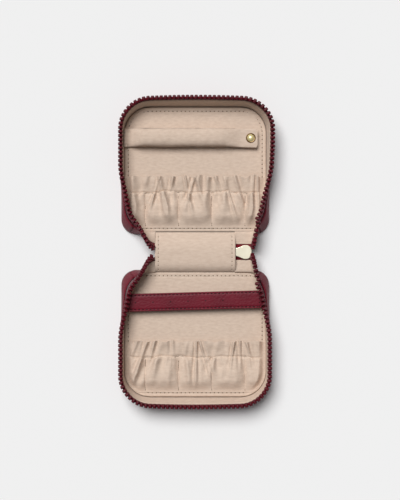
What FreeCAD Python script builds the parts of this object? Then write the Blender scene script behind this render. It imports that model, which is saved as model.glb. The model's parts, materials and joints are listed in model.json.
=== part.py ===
import FreeCAD, Part
import math
import os
import Sketcher

# Zip-around leather jewellery case, lying open flat.
# +Z is up, the table is Z = 0, X runs along the spine and Y from the base tray to the lid tray.
# In a tray, d is the distance from its fold line towards the far edge.

doc = FreeCAD.newDocument("JewelleryCase")
sheet = doc.addObject("Spreadsheet::Sheet", "Dims")

SIZES = {
    "tray_half_width": 51.0,
    "tray_length": 88.0,
    "front_radius": 18.6,
    "rear_radius": 9.0,
    "rim_side_flare": 0.8,
    "rim_front_flare": 4.3,
    "rim_front_radius": 26.0,
    "rim_rear_radius": 20.0,
    "spine_width": 27.4,
    "spine_half_length": 27.5,
    "spine_rise": 3.0,
    "cover_thickness": 1.2,
    "padding_thickness": 1.1,
    "board_thickness": 1.4,
    "panel_thickness": 0.8,
    "leather_gauge": 1.1,
    "lining_gauge": 0.6,
    "tape_gauge": 0.5,
    "layer_gap": 0.05,
    "fit_clearance": 0.3,
    "panel_setback": 1.2,
    "leather_height": 10.4,
    "lining_height": 11.6,
    "tape_width": 14.0,
    "tooth_pitch": 2.95,
    "tooth_height": 3.9,
    "tooth_root": 1.36,
    "tooth_tip": 1.12,
    "tooth_depth": 2.5,
    "wing_inset": 6.0,
    "left_twist_reach": 7.5,
    "right_twist_lead": 10.2,
    "pocket_depth": 35.2,
    "lid_pocket_seam": 2.9,
    "base_seam_inset": 5.4,
    "pocket_margin": 1.2,
    "pocket_fullness": 5.2,
    "pocket_crease": 1.0,
    "pocket_cloth": 0.8,
    "pocket_divider_inset": 16.8,
    "elastic_width": 5.0,
    "elastic_from_seam": 23.0,
    "elastic_gauge": 0.6,
    "roll_inset": 23.4,
    "roll_half_width": 6.2,
    "roll_height": 8.5,
    "roll_left_inset": 4.8,
    "roll_swell": 13.2,
    "roll_taper": 5.0,
    "roll_tab_length": 9.6,
    "roll_tab_inset": 8.4,
    "roll_tab_level": 2.4,
    "roll_tab_thickness": 1.6,
    "roll_cloth": 0.8,
    "snap_from_tab_end": 4.6,
    "snap_cap_radius": 3.3,
    "snap_flange_radius": 3.0,
    "snap_post_radius": 1.5,
    "snap_flange_thickness": 0.6,
    "snap_post_height": 1.5,
    "snap_clearance": 0.2,
    "strap_centre": 19.6,
    "strap_half_width": 6.05,
    "strap_left_inset": 3.7,
    "strap_right_inset": 8.4,
    "strap_level": 4.8,
    "strap_leather": 1.0,
    "strap_backing": 0.5,
    "strap_corner": 2.2,
    "strap_hole_radius": 0.55,
    "strap_hole_pitch": 11.9,
    "strap_first_hole": 6.0,
    "strap_tab_length": 13.0,
    "strap_tab_thickness": 1.0,
    "slider_length": 10.8,
    "slider_nose": 4.75,
    "slider_tail": 2.75,
    "slider_plate": 1.0,
    "slider_slot": 2.8,
    "slider_centre_height": 5.2,
    "slider_neck": 1.6,
    "bail_half_length": 2.4,
    "bail_half_width": 1.0,
    "bail_gauge": 0.8,
    "bail_height": 2.3,
    "pull_length": 19.0,
    "pull_radius": 4.2,
    "pull_eye_half_width": 2.8,
    "pull_gauge": 1.0,
    "tail_length": 10.0,
    "tail_half_width": 5.0,
    "stop_length": 3.5,
    "stop_half_width": 2.2,
    "stop_height": 1.3,
}

# Places that follow from other sizes, so that neighbouring pieces keep together.
PLACES = {
    "wing_start": "tray_half_width - wing_inset",
    "left_twist_end": "spine_half_length - left_twist_reach",
    "right_twist_end": "spine_half_length + right_twist_lead",
    "slider_start": "spine_half_length + fit_clearance",
    "right_teeth_end": "spine_half_length + slider_length + 2 * fit_clearance + tooth_root",
    "base_pocket_seam": "tray_length - base_seam_inset",
    "pocket_outer_divider": "tray_half_width - pocket_divider_inset",
    "pocket_inner_divider": "(tray_half_width - pocket_divider_inset) / 3",
    "roll_centre": "tray_length - roll_inset",
    "roll_left": "tray_half_width - roll_left_inset",
    "roll_full_left": "tray_half_width - roll_left_inset - roll_swell",
    "roll_tab_end": "tray_half_width - roll_tab_inset",
    "roll_tab_start": "tray_half_width - roll_tab_inset - roll_tab_length",
    "roll_full_right": "tray_half_width - roll_tab_inset - roll_tab_length - roll_taper",
    "snap_offset": "tray_half_width - roll_tab_inset - snap_from_tab_end",
    "strap_left": "tray_half_width - strap_left_inset",
    "strap_right": "tray_half_width - strap_right_inset",
}

rows = [(alias, str(value)) for alias, value in SIZES.items()]
rows += [(alias, "=" + formula) for alias, formula in PLACES.items()]
for row, (alias, content) in enumerate(rows, start=1):
    sheet.set(f"A{row}", alias)
    sheet.set(f"B{row}", content)
    sheet.setAlias(f"B{row}", alias)
doc.recompute()

parts = []


def size(alias):
    """The sheet's value of one named size."""
    return float(sheet.get(alias))


def keep(obj, label):
    """Name one sub-part and put it on the list that is written out."""
    obj.Label = label
    parts.append(obj)
    return obj


PANEL_TOP = sum(size(n) for n in ("cover_thickness", "padding_thickness", "board_thickness", "panel_thickness"))
FOLD_Y = size("spine_width") / 2
WALL_BASE = size("cover_thickness")
RIM = WALL_BASE + size("tape_width")
LAYER = size("tape_gauge") / 2 + size("layer_gap")
OUTER = LAYER + size("leather_gauge")
INNER = LAYER + size("lining_gauge")
SIDE = {"lid": 1, "base": -1}
TOP_EXPR = "(Dims.cover_thickness + Dims.padding_thickness + Dims.board_thickness + Dims.panel_thickness)"
OUTER_EXPR = "(Dims.tape_gauge / 2 + Dims.layer_gap + Dims.leather_gauge)"
INSET_EXPR = f"({OUTER_EXPR} + Dims.tape_gauge / 2 + Dims.layer_gap + Dims.lining_gauge + Dims.fit_clearance)"

PANEL_SHARE = f"(({TOP_EXPR} - Dims.cover_thickness) / Dims.tape_width)"
PANEL_REAR_EXPR = f"(Dims.rear_radius + (Dims.rim_rear_radius - Dims.rear_radius) * {PANEL_SHARE})"


def at(half, x, d, z):
    """A point of a tray in the shared frame."""
    return FreeCAD.Vector(x, SIDE[half] * (FOLD_Y + d), z)


def plane(body, role):
    """The body's own origin plane or axis of that role."""
    return next(f for f in body.Origin.OriginFeatures if f.Role == role)


def new_body(label):
    """An empty sub-part body."""
    return keep(doc.addObject("PartDesign::Body", label), label)


def new_sketch(body, name, role):
    """A sketch on one of the body's origin planes."""
    sketch = body.newObject("Sketcher::SketchObject", name)
    sketch.AttachmentSupport = [(plane(body, role), "")]
    sketch.MapMode = "FlatFace"
    return sketch


def number(expression):
    """The present value of an expression on the sheet."""
    return float(anchor.evalExpression(expression))


anchor = doc.addObject("App::FeaturePython", "Anchor")


def drive(sketch, constraint, name, expression):
    """Add a named constraint that follows an expression."""
    index = sketch.addConstraint(constraint)
    sketch.renameConstraint(index, name)
    sketch.setExpression(f"Constraints.{name}", expression)


def polygon_sketch(body, name, role, corners):
    """A closed polygon whose corners follow expressions; "0" puts a corner on the axis."""
    sketch = new_sketch(body, name, role)
    points = [FreeCAD.Vector(number(u), number(v), 0) for u, v in corners]
    count = len(points)
    for i in range(count):
        sketch.addGeometry(Part.LineSegment(points[i], points[(i + 1) % count]), False)
    for i in range(count):
        sketch.addConstraint(Sketcher.Constraint("Coincident", i, 2, (i + 1) % count, 1))
    for i, (u, v) in enumerate(corners):
        if u == "0":
            sketch.addConstraint(Sketcher.Constraint("PointOnObject", i, 1, -2))
        else:
            drive(sketch, Sketcher.Constraint("DistanceX", -1, 1, i, 1, points[i].x), f"across{i}", u)
        if v == "0":
            sketch.addConstraint(Sketcher.Constraint("PointOnObject", i, 1, -1))
        else:
            drive(sketch, Sketcher.Constraint("DistanceY", -1, 1, i, 1, points[i].y), f"along{i}", v)
    return sketch


def rounded_sketch(body, name, left, right, low, high, low_radius, high_radius):
    """A rectangle with rounded corners, one radius at the low edge and one at the high edge."""
    sketch = new_sketch(body, name, "XY_Plane")
    x0, x1, y0, y1, r0, r1 = [number(e) for e in (left, right, low, high, low_radius, high_radius)]
    vec = FreeCAD.Vector
    up = vec(0, 0, 1)
    quarter = math.pi / 2
    sketch.addGeometry(Part.LineSegment(vec(x0 + r0, y0, 0), vec(x1 - r0, y0, 0)), False)
    sketch.addGeometry(Part.ArcOfCircle(Part.Circle(vec(x1 - r0, y0 + r0, 0), up, r0), -quarter, 0), False)
    sketch.addGeometry(Part.LineSegment(vec(x1, y0 + r0, 0), vec(x1, y1 - r1, 0)), False)
    sketch.addGeometry(Part.ArcOfCircle(Part.Circle(vec(x1 - r1, y1 - r1, 0), up, r1), 0, quarter), False)
    sketch.addGeometry(Part.LineSegment(vec(x1 - r1, y1, 0), vec(x0 + r1, y1, 0)), False)
    sketch.addGeometry(Part.ArcOfCircle(Part.Circle(vec(x0 + r1, y1 - r1, 0), up, r1), quarter, 2 * quarter), False)
    sketch.addGeometry(Part.LineSegment(vec(x0, y1 - r1, 0), vec(x0, y0 + r0, 0)), False)
    sketch.addGeometry(Part.ArcOfCircle(Part.Circle(vec(x0 + r0, y0 + r0, 0), up, r0), 2 * quarter, 3 * quarter), False)
    for i in range(8):
        sketch.addConstraint(Sketcher.Constraint("Tangent", i, 2, (i + 1) % 8, 1))
    for line, kind in ((0, "Horizontal"), (2, "Vertical"), (4, "Horizontal"), (6, "Vertical")):
        sketch.addConstraint(Sketcher.Constraint(kind, line))
    sketch.addConstraint(Sketcher.Constraint("Equal", 1, 7))
    sketch.addConstraint(Sketcher.Constraint("Equal", 3, 5))
    drive(sketch, Sketcher.Constraint("Radius", 1, r0), "low_radius", low_radius)
    drive(sketch, Sketcher.Constraint("Radius", 3, r1), "high_radius", high_radius)
    drive(sketch, Sketcher.Constraint("DistanceX", -1, 1, 2, 1, x1), "right_edge", right)
    drive(sketch, Sketcher.Constraint("DistanceX", -1, 1, 6, 1, x0), "left_edge", left)
    drive(sketch, Sketcher.Constraint("DistanceY", -1, 1, 0, 1, y0), "low_edge", low)
    drive(sketch, Sketcher.Constraint("DistanceY", -1, 1, 4, 1, y1), "high_edge", high)
    return sketch


def pad(body, sketch, length, midplane=False):
    """Pad a sketch by an expression."""
    feature = body.newObject("PartDesign::Pad", sketch.Name + "Pad")
    feature.Profile = sketch
    feature.Midplane = midplane
    feature.setExpression("Length", length)
    body.Tip = feature
    return feature


def place_tray(body, half, height):
    """Seat a flat tray piece: the base tray is the lid tray turned half round."""
    turn = 0 if half == "lid" else 180
    body.Placement = FreeCAD.Placement(at(half, 0, 0, 0), FreeCAD.Rotation(FreeCAD.Vector(0, 0, 1), turn))
    body.setExpression(".Placement.Base.y", f"{SIDE[half]} * Dims.spine_width / 2")
    body.setExpression(".Placement.Base.z", height)


def tray_plate(half, name, thickness, height, inset, rear, rear_radius):
    """One flat layer of a tray, following the tray outline at an inset."""
    body = new_body(f"{half}_{name}")
    edge = f"(Dims.tray_half_width - {inset})"
    sketch = rounded_sketch(
        body, f"{half}_{name}_outline", f"-{edge}", edge, rear, f"Dims.tray_length - {inset}",
        f"{rear_radius} + {OUTER_EXPR} - {inset}", f"Dims.front_radius + {OUTER_EXPR} - {inset}",
    )
    pad(body, sketch, thickness)
    place_tray(body, half, height)
    return body


def build_plates(half):
    """Cover, padding, board and lined inner panel of one tray."""
    tray_plate(half, "cover", "Dims.cover_thickness", "0", "0", "Dims.fit_clearance", "Dims.rear_radius")
    inner = (INSET_EXPR, "Dims.panel_setback", PANEL_REAR_EXPR)
    tray_plate(half, "padding", "Dims.padding_thickness", "Dims.cover_thickness", *inner)
    tray_plate(half, "board", "Dims.board_thickness", "Dims.cover_thickness + Dims.padding_thickness", *inner)
    tray_plate(half, "inner_panel", "Dims.panel_thickness", f"{TOP_EXPR} - Dims.panel_thickness", *inner)


def outline(fraction):
    """Half width, far edge, front and rear radius of the wall's middle surface, from base 0 to rim 1."""
    width = size("tray_half_width") - OUTER + fraction * size("rim_side_flare")
    far = size("tray_length") - OUTER + fraction * size("rim_front_flare")
    front = size("front_radius") + fraction * (size("rim_front_radius") - size("front_radius"))
    rear = size("rear_radius") + fraction * (size("rim_rear_radius") - size("rear_radius"))
    return width, far, front, rear


def wall_path(half, fraction, offset, z):
    """Edges of the U-shaped wall line at an offset from the middle surface, left end to right end."""
    width, far, front, rear = outline(fraction)
    rear_r = rear + offset
    front_r = front + offset
    start = math.acos((size("wing_start") - width + rear) / rear_r)
    diagonal = math.sqrt(0.5)

    def side(sign):
        rear_x = width - rear
        front_x = width - front
        return [
            (sign * (rear_x + rear_r * math.cos(start)), rear - rear_r * math.sin(start)),
            (sign * (rear_x + rear_r * math.cos(start / 2)), rear - rear_r * math.sin(start / 2)),
            (sign * (width + offset), rear),
            (sign * (width + offset), far - front),
            (sign * (front_x + front_r * diagonal), far - front + front_r * diagonal),
            (sign * front_x, far + offset),
        ]

    left = [at(half, x, d, z) for x, d in side(-1)]
    right = [at(half, x, d, z) for x, d in side(1)]
    return [
        Part.Arc(left[0], left[1], left[2]).toShape(),
        Part.LineSegment(left[2], left[3]).toShape(),
        Part.Arc(left[3], left[4], left[5]).toShape(),
        Part.LineSegment(left[5], right[5]).toShape(),
        Part.Arc(right[5], right[4], right[3]).toShape(),
        Part.LineSegment(right[3], right[2]).toShape(),
        Part.Arc(right[2], right[1], right[0]).toShape(),
    ]


def wall_band(half, z, inner, outer):
    """Closed profile of a wall layer at one height."""
    fraction = (z - WALL_BASE) / size("tape_width")
    outside = wall_path(half, fraction, outer, z)
    inside = wall_path(half, fraction, inner, z)
    right = Part.LineSegment(outside[-1].Vertexes[-1].Point, inside[-1].Vertexes[-1].Point).toShape()
    left = Part.LineSegment(inside[0].Vertexes[0].Point, outside[0].Vertexes[0].Point).toShape()
    return Part.Wire(outside + [right] + inside[::-1] + [left])


def feature(label, shape):
    """A sub-part whose form is made by lofting or repeating."""
    obj = doc.addObject("Part::Feature", label)
    obj.Shape = shape
    return keep(obj, label)


def wall_layer(half, name, height, inner, outer):
    """One layer of the upright wall round three sides of a tray."""
    low = wall_band(half, WALL_BASE, inner, outer)
    high = wall_band(half, WALL_BASE + height, inner, outer)
    feature(f"{half}_{name}", Part.makeLoft([low, high], True, True))


def build_walls(half):
    """Leather, tape and lining of one tray wall."""
    tape = size("tape_gauge") / 2
    wall_layer(half, "wall_leather", size("leather_height"), LAYER, OUTER)
    wall_layer(half, "zip_tape", size("tape_width"), -tape, tape)
    wall_layer(half, "wall_lining", size("lining_height"), -INNER, -LAYER)


def rim_point(run):
    """Point and direction of the closed zip line, by distance along it from the far middle."""
    width, far, front, rear = outline(1)
    sign = 1 if run >= 0 else -1
    run = abs(run)
    lengths = (width - front, front * math.pi / 2, far - front - rear, rear * math.pi / 2)
    if run <= lengths[0]:
        return sign * run, far, 0.0
    run -= lengths[0]
    if run <= lengths[1]:
        turn = run / front
        return sign * (width - front + front * math.sin(turn)), far - front + front * math.cos(turn), -sign * turn
    run -= lengths[1]
    if run <= lengths[2]:
        return sign * width, far - front - run, -sign * math.pi / 2
    run -= lengths[2]
    if run <= lengths[3]:
        turn = run / rear
        x = width - rear + rear * math.cos(turn)
        return sign * x, rear - rear * math.sin(turn), -sign * (math.pi / 2 + turn)
    run -= lengths[3]
    return sign * (width - rear - run), 0.0, -sign * math.pi


def twist(x):
    """Angle by which a gusset end lies over at x, in radians: 0 upright, a right angle flat."""
    end = size("left_twist_end") if x < 0 else size("right_twist_end")
    share = min(1, max(0, (size("wing_start") - abs(x)) / (size("wing_start") - end)))
    return share * share * (3 - 2 * share) * math.pi / 2


def fold_out(x, d, z):
    """Where a point of the closed rear wall lies in the open case."""
    angle = twist(x)
    rise = z - PANEL_TOP
    if rise <= 0:
        return d, z
    return d * math.cos(angle) - rise * math.sin(angle), PANEL_TOP + d * math.sin(angle) + rise * math.cos(angle)


def tooth():
    """One zip tooth, standing on the tape edge."""
    root = size("tooth_root") / 2
    tip = size("tooth_tip") / 2
    tall = size("tooth_height")
    deep = size("tooth_depth") / 2
    corners = [(-root, 0), (root, 0), (root, tall * 0.45), (tip, tall), (-tip, tall), (-root, tall * 0.45)]
    wire = Part.makePolygon([FreeCAD.Vector(u, -deep, v) for u, v in corners + corners[:1]])
    return Part.Face(wire).extrude(FreeCAD.Vector(0, 2 * deep, 0))


def framed(origin, along, up):
    """Placement with local X along the zip line and local Z towards the tooth tip."""
    up.normalize()
    along = along - up * along.dot(up)
    along.normalize()
    across = up.cross(along)
    matrix = FreeCAD.Matrix(
        along.x, across.x, up.x, origin.x,
        along.y, across.y, up.y, origin.y,
        along.z, across.z, up.z, origin.z,
        0, 0, 0, 1,
    )
    return FreeCAD.Placement(matrix)


def rim_place(half, run):
    """Placement of a tooth at a distance along the zip line, in the open case."""
    def point(offset, height):
        x, d, _ = rim_point(run + offset)
        if abs(x) < size("wing_start"):
            if d < size("rim_rear_radius"):
                d, height = fold_out(x, d, height)
        return at(half, x, d, height)

    step = 0.2
    origin = point(0, RIM)
    return framed(origin, point(step, RIM) - point(-step, RIM), point(0, RIM + 1) - origin)


def build_teeth(half):
    """Tooth rows of one tray: the fixed row and the rows on both gusset ends."""
    pitch = size("tooth_pitch")
    phase = SIDE[half] * pitch / 4
    rows = {"zip_teeth": [], "left_teeth": [], "right_teeth": []}
    stop = size("spine_half_length") + size("fit_clearance") + size("tooth_root")
    limit = int(300 / pitch)
    for k in range(-limit, limit + 1):
        run = k * pitch + phase
        x, d, _ = rim_point(run)
        on_end = d < size("rim_rear_radius") and abs(x) < size("wing_start")
        if on_end and abs(x) < (stop if x < 0 else size("right_teeth_end")):
            continue
        if abs(run) > 200:
            continue
        row = "zip_teeth" if not on_end else ("left_teeth" if x < 0 else "right_teeth")
        copy = tooth()
        copy.Placement = rim_place(half, run)
        rows[row].append(copy)
    for name, solids in rows.items():
        feature(f"{half}_{name}", Part.makeCompound(solids))


def end_line(x):
    """Closed rear wall line at x: distance from the fold line at the base and at the rim."""
    found = []
    for fraction in (0, 1):
        width, far, front, rear = outline(fraction)
        reach = abs(x) - width + rear
        found.append(0.0 if reach <= 0 else rear - math.sqrt(rear * rear - reach * reach))
    return found


def end_section(half, x, z_low, z_high, inner, outer):
    """Cross-section of a gusset end at x, bent at the fold line."""
    base_d, rim_d = end_line(x)
    heights = [z_low] + ([PANEL_TOP] if z_low < PANEL_TOP else []) + [z_high]

    def strip(offset):
        line = []
        for z in heights:
            share = (z - WALL_BASE) / size("tape_width")
            line.append(fold_out(x, base_d + share * (rim_d - base_d) - offset, z))
        if len(heights) == 3:
            half_turn = twist(x) / 2
            lean = offset * math.tan(half_turn)
            line[1] = (base_d - offset, PANEL_TOP - lean)
        return [at(half, x, d, z) for d, z in line]

    loop = strip(outer) + strip(inner)[::-1]
    return Part.makePolygon(loop + loop[:1])


def end_piece(half, side, name, z_low, z_high, inner, outer, stop):
    """A lofted piece of one gusset end, from the upright wall to the spine strip."""
    sign = -1 if side == "left" else 1
    steps = 8
    start = size("wing_start")
    stations = [sign * (start + (stop - start) * i / steps) for i in range(steps + 1)]
    wires = [end_section(half, x, z_low, z_high, inner, outer) for x in stations]
    feature(f"{half}_{side}_{name}", Part.makeLoft(wires, True, True))


def build_ends(half):
    """Gusset ends and tape ends of one tray."""
    stop = size("spine_half_length") + size("fit_clearance")
    leather_top = WALL_BASE + size("leather_height")
    tape = size("tape_gauge") / 2
    for side in ("left", "right"):
        end_piece(half, side, "gusset_end", WALL_BASE, leather_top, -INNER, OUTER, stop)
        end_piece(half, side, "tape_end", leather_top + size("layer_gap"), RIM, -tape, tape, stop)


def panel_edge(d):
    """Half width of the inner panel at d."""
    inset = OUTER + INNER + size("fit_clearance")
    half_width = size("tray_half_width") - inset
    far = size("tray_length") - inset
    front = size("front_radius") + OUTER - inset
    rear = number(PANEL_REAR_EXPR) + OUTER - inset
    low = size("panel_setback") + rear - d
    high = d - far + front
    if low > 0:
        return half_width - rear + math.sqrt(max(0, rear * rear - low * low))
    if high > 0:
        return half_width - front + math.sqrt(max(0, front * front - high * high))
    return half_width


def pocket_stations(half):
    """Distance from the seam, fullness and place of each pocket section."""
    seam = size(f"{half}_pocket_seam")
    way = 1 if half == "lid" else -1
    depth = size("pocket_depth")
    full = size("pocket_fullness")
    low = size("pocket_crease")
    shares = [(0, low * 1.2), (0.16, 0.62 * full), (0.4, full), (0.62, 0.9 * full), (0.84, 0.9 * full), (1, full)]
    return [(seam + way * depth * share, tall) for share, tall in shares]


def pocket_edges(d):
    """Where the compartments of a pocket part at d."""
    inner = size("pocket_inner_divider")
    outer = size("pocket_outer_divider")
    edge = panel_edge(d) - size("pocket_margin")
    return [-edge, -outer, -inner, inner, outer, edge]


def arch(half, d, x0, x1, foot, top):
    """Arc of one pocket compartment."""
    points = [at(half, x, d, PANEL_TOP + z) for x, z in ((x0, foot), ((x0 + x1) / 2, top), (x1, foot))]
    return Part.Arc(*points).toShape()


def pocket_outside(half, d, tall):
    """Outer profile of a gathered pocket at d."""
    xs = pocket_edges(d)
    low = size("pocket_crease")
    arcs = [arch(half, d, xs[i], xs[i + 1], low, tall) for i in range(5)]
    feet = [at(half, xs[-1], d, PANEL_TOP + low), at(half, xs[-1], d, PANEL_TOP)]
    feet += [at(half, xs[0], d, PANEL_TOP), at(half, xs[0], d, PANEL_TOP + low)]
    return Part.Wire(arcs + [Part.LineSegment(feet[i], feet[i + 1]).toShape() for i in range(3)])


def compartment(half, d, index, tall, drop):
    """Inner profile of one compartment, open towards the panel."""
    xs = pocket_edges(d)
    cloth = size("pocket_cloth")
    x0 = xs[index] + cloth
    x1 = xs[index + 1] - cloth
    foot = size("pocket_crease") / 2
    top = arch(half, d, x0, x1, foot - drop, tall - cloth - drop)
    feet = [at(half, x1, d, PANEL_TOP + foot - drop), at(half, x1, d, PANEL_TOP - 1)]
    feet += [at(half, x0, d, PANEL_TOP - 1), at(half, x0, d, PANEL_TOP + foot - drop)]
    return Part.Wire([top] + [Part.LineSegment(feet[i], feet[i + 1]).toShape() for i in range(3)])


def build_pocket(half):
    """Gathered pocket with five compartments, and the elastic in its mouth."""
    stations = pocket_stations(half)
    outside = Part.makeLoft([pocket_outside(half, d, tall) for d, tall in stations], True, True)
    mouth = stations[-1][0] + (stations[-1][0] - stations[0][0]) * 0.05
    inner = stations[1:-1] + [(mouth, stations[-1][1])]
    hollows = []
    bands = []
    way = 1 if half == "lid" else -1
    band_d = size(f"{half}_pocket_seam") + way * size("elastic_from_seam")
    band_tall = stations[3][1]
    run = FreeCAD.Vector(0, SIDE[half] * way * size("elastic_width"), 0)
    for index in range(5):
        hollows.append(Part.makeLoft([compartment(half, d, index, t, 0) for d, t in inner], True, True))
        xs = pocket_edges(band_d)
        cloth = size("pocket_cloth") + size("layer_gap")
        ends = [xs[index] + 2 * cloth, xs[index + 1] - 2 * cloth]
        top = band_tall - cloth - size("layer_gap")
        foot = size("pocket_crease") / 2
        gauge = size("elastic_gauge")
        upper = arch(half, band_d, ends[0], ends[1], foot, top)
        lower = arch(half, band_d, ends[0], ends[1], foot - gauge / 2, top - gauge)
        sides = [
            Part.LineSegment(upper.Vertexes[i].Point, lower.Vertexes[i].Point).toShape() for i in (0, 1)
        ]
        wire = Part.Wire([upper, sides[1], lower, sides[0]])
        bands.append(Part.Face(wire).extrude(run))
    feature(f"{half}_pocket", outside.cut(hollows))
    feature(f"{half}_pocket_elastic", Part.makeCompound(bands))


def arc_band(label, gap):
    """A strip of the spine, arched between the two fold lines."""
    body = new_body(label)
    sketch = new_sketch(body, label + "_profile", "YZ_Plane")
    span = "(Dims.spine_width / 2 - Dims.fit_clearance)"
    radius = f"(({span} * {span} + Dims.spine_rise * Dims.spine_rise) / (2 * Dims.spine_rise))"
    thickness = "Dims.lining_gauge" if gap == "0" else "Dims.leather_gauge"
    centre = f"{TOP_EXPR} + Dims.spine_rise - {radius}"
    big = f"{radius} - {gap}"
    small = f"{radius} - {gap} - {thickness}"
    reach = number(span)
    level = number(centre)
    for i, expression in enumerate((big, small)):
        r = number(expression)
        angle = math.acos(reach / r)
        circle = Part.Circle(FreeCAD.Vector(0, level, 0), FreeCAD.Vector(0, 0, 1), r)
        sketch.addGeometry(Part.ArcOfCircle(circle, angle, math.pi - angle), False)
    corners = [(math.sqrt(number(e) ** 2 - reach ** 2) + level) for e in (big, small)]
    for sign in (1, -1):
        high = FreeCAD.Vector(sign * reach, corners[0], 0)
        low = FreeCAD.Vector(sign * reach, corners[1], 0)
        sketch.addGeometry(Part.LineSegment(high, low), False)
    for line, end in ((2, 1), (3, 2)):
        sketch.addConstraint(Sketcher.Constraint("Coincident", 0, end, line, 1))
        sketch.addConstraint(Sketcher.Constraint("Coincident", 1, end, line, 2))
    sketch.addConstraint(Sketcher.Constraint("Coincident", 0, 3, 1, 3))
    sketch.addConstraint(Sketcher.Constraint("PointOnObject", 0, 3, -2))
    drive(sketch, Sketcher.Constraint("DistanceY", -1, 1, 0, 3, level), "centre_level", centre)
    drive(sketch, Sketcher.Constraint("Radius", 0, number(big)), "upper_radius", big)
    drive(sketch, Sketcher.Constraint("Radius", 1, number(small)), "lower_radius", small)
    for i, (line, sign) in enumerate(((2, ""), (3, "-"))):
        for end in (1, 2):
            datum = reach if sign == "" else -reach
            constraint = Sketcher.Constraint("DistanceX", -1, 1, line, end, datum)
            drive(sketch, constraint, f"edge{i}{end}", f"{sign}{span}")
    pad(body, sketch, "2 * Dims.spine_half_length", True)


def build_spine():
    """Lining strip over the leather strip that joins the trays."""
    arc_band("spine_lining", "0")
    arc_band("spine_leather", "Dims.lining_gauge")


def block(label, corners, length, level, x="0", y="0"):
    """A flat piece padded upwards from a polygon."""
    body = new_body(label)
    pad(body, polygon_sketch(body, label + "_outline", "XY_Plane", corners), length)
    body.setExpression(".Placement.Base.x", x)
    body.setExpression(".Placement.Base.y", y)
    body.setExpression(".Placement.Base.z", level)
    return body


def rectangle(left, right, half_width):
    """Corner expressions of a rectangle that is centred on the X axis."""
    return [(left, f"-({half_width})"), (right, f"-({half_width})"), (right, half_width), (left, half_width)]


def turned(label, corners, x, y, level):
    """A turned piece, from its half profile about its own axis."""
    body = new_body(label)
    sketch = polygon_sketch(body, label + "_profile", "XZ_Plane", corners)
    revolution = body.newObject("PartDesign::Revolution", label + "_turn")
    revolution.Profile = sketch
    revolution.ReferenceAxis = (sketch, ["V_Axis"])
    revolution.Angle = 360
    body.Tip = revolution
    body.setExpression(".Placement.Base.x", x)
    body.setExpression(".Placement.Base.y", y)
    body.setExpression(".Placement.Base.z", level)


def snap_stud(label, x, y, level):
    """Stud half of a snap: flange and post."""
    top = "Dims.snap_flange_thickness + Dims.snap_post_height"
    corners = [
        ("0", "0"),
        ("Dims.snap_flange_radius", "0"),
        ("Dims.snap_flange_radius", "Dims.snap_flange_thickness"),
        ("Dims.snap_post_radius", "Dims.snap_flange_thickness"),
        ("Dims.snap_post_radius", top),
        ("0", top),
    ]
    turned(label, corners, x, y, level)


def snap_socket(label, x, y, under):
    """Socket half of a snap: a ring round the stud's post, fixed to the underside above it."""
    bore = "Dims.snap_post_radius + Dims.snap_clearance"
    depth = "(Dims.snap_post_height - Dims.snap_clearance)"
    corners = [
        (bore, "0"),
        ("Dims.snap_flange_radius", "0"),
        ("Dims.snap_flange_radius", f"{depth} + 2 * Dims.snap_clearance"),
        (bore, f"{depth} + 2 * Dims.snap_clearance"),
    ]
    turned(label, corners, x, y, f"{under} - {depth} - 2 * Dims.snap_clearance")


ROLL_Y = "Dims.spine_width / 2 + Dims.roll_centre"
ROLL_FLOOR = f"{TOP_EXPR} + Dims.layer_gap"
TAB_LEVEL = f"{TOP_EXPR} + Dims.roll_tab_level"


def ellipse_at(name, x, half_height, centre, inset):
    """One section of the ring roll, across X."""
    section = doc.addObject("Part::Ellipse", name)
    section.Placement = FreeCAD.Placement(FreeCAD.Vector(), FreeCAD.Rotation(FreeCAD.Vector(1, 1, 1), 120))
    section.setExpression("MajorRadius", f"Dims.roll_half_width - {inset}")
    section.setExpression("MinorRadius", f"{half_height} - {inset}")
    section.setExpression(".Placement.Base.x", x)
    section.setExpression(".Placement.Base.y", ROLL_Y)
    section.setExpression(".Placement.Base.z", centre)
    return section


def roll_loft(name, inset, spare):
    """The roll's padded body, inset all round."""
    thin = "1.2 * Dims.roll_tab_thickness"
    tall = "Dims.roll_height / 2"
    middle = f"{ROLL_FLOOR} + {tall}"
    tab_middle = f"{TAB_LEVEL} + Dims.roll_tab_thickness / 2"
    sections = [
        ellipse_at(name + "_a", f"-Dims.roll_left + {spare}", thin, f"{ROLL_FLOOR} + {thin}", inset),
        ellipse_at(name + "_b", "-Dims.roll_full_left", tall, middle, inset),
        ellipse_at(name + "_c", "Dims.roll_full_right", tall, middle, inset),
        ellipse_at(name + "_d", f"Dims.roll_tab_start - {spare}", thin, tab_middle, inset),
    ]
    loft = doc.addObject("Part::Loft", name)
    loft.Sections = sections
    loft.Solid = True
    loft.Ruled = True
    return loft


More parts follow.
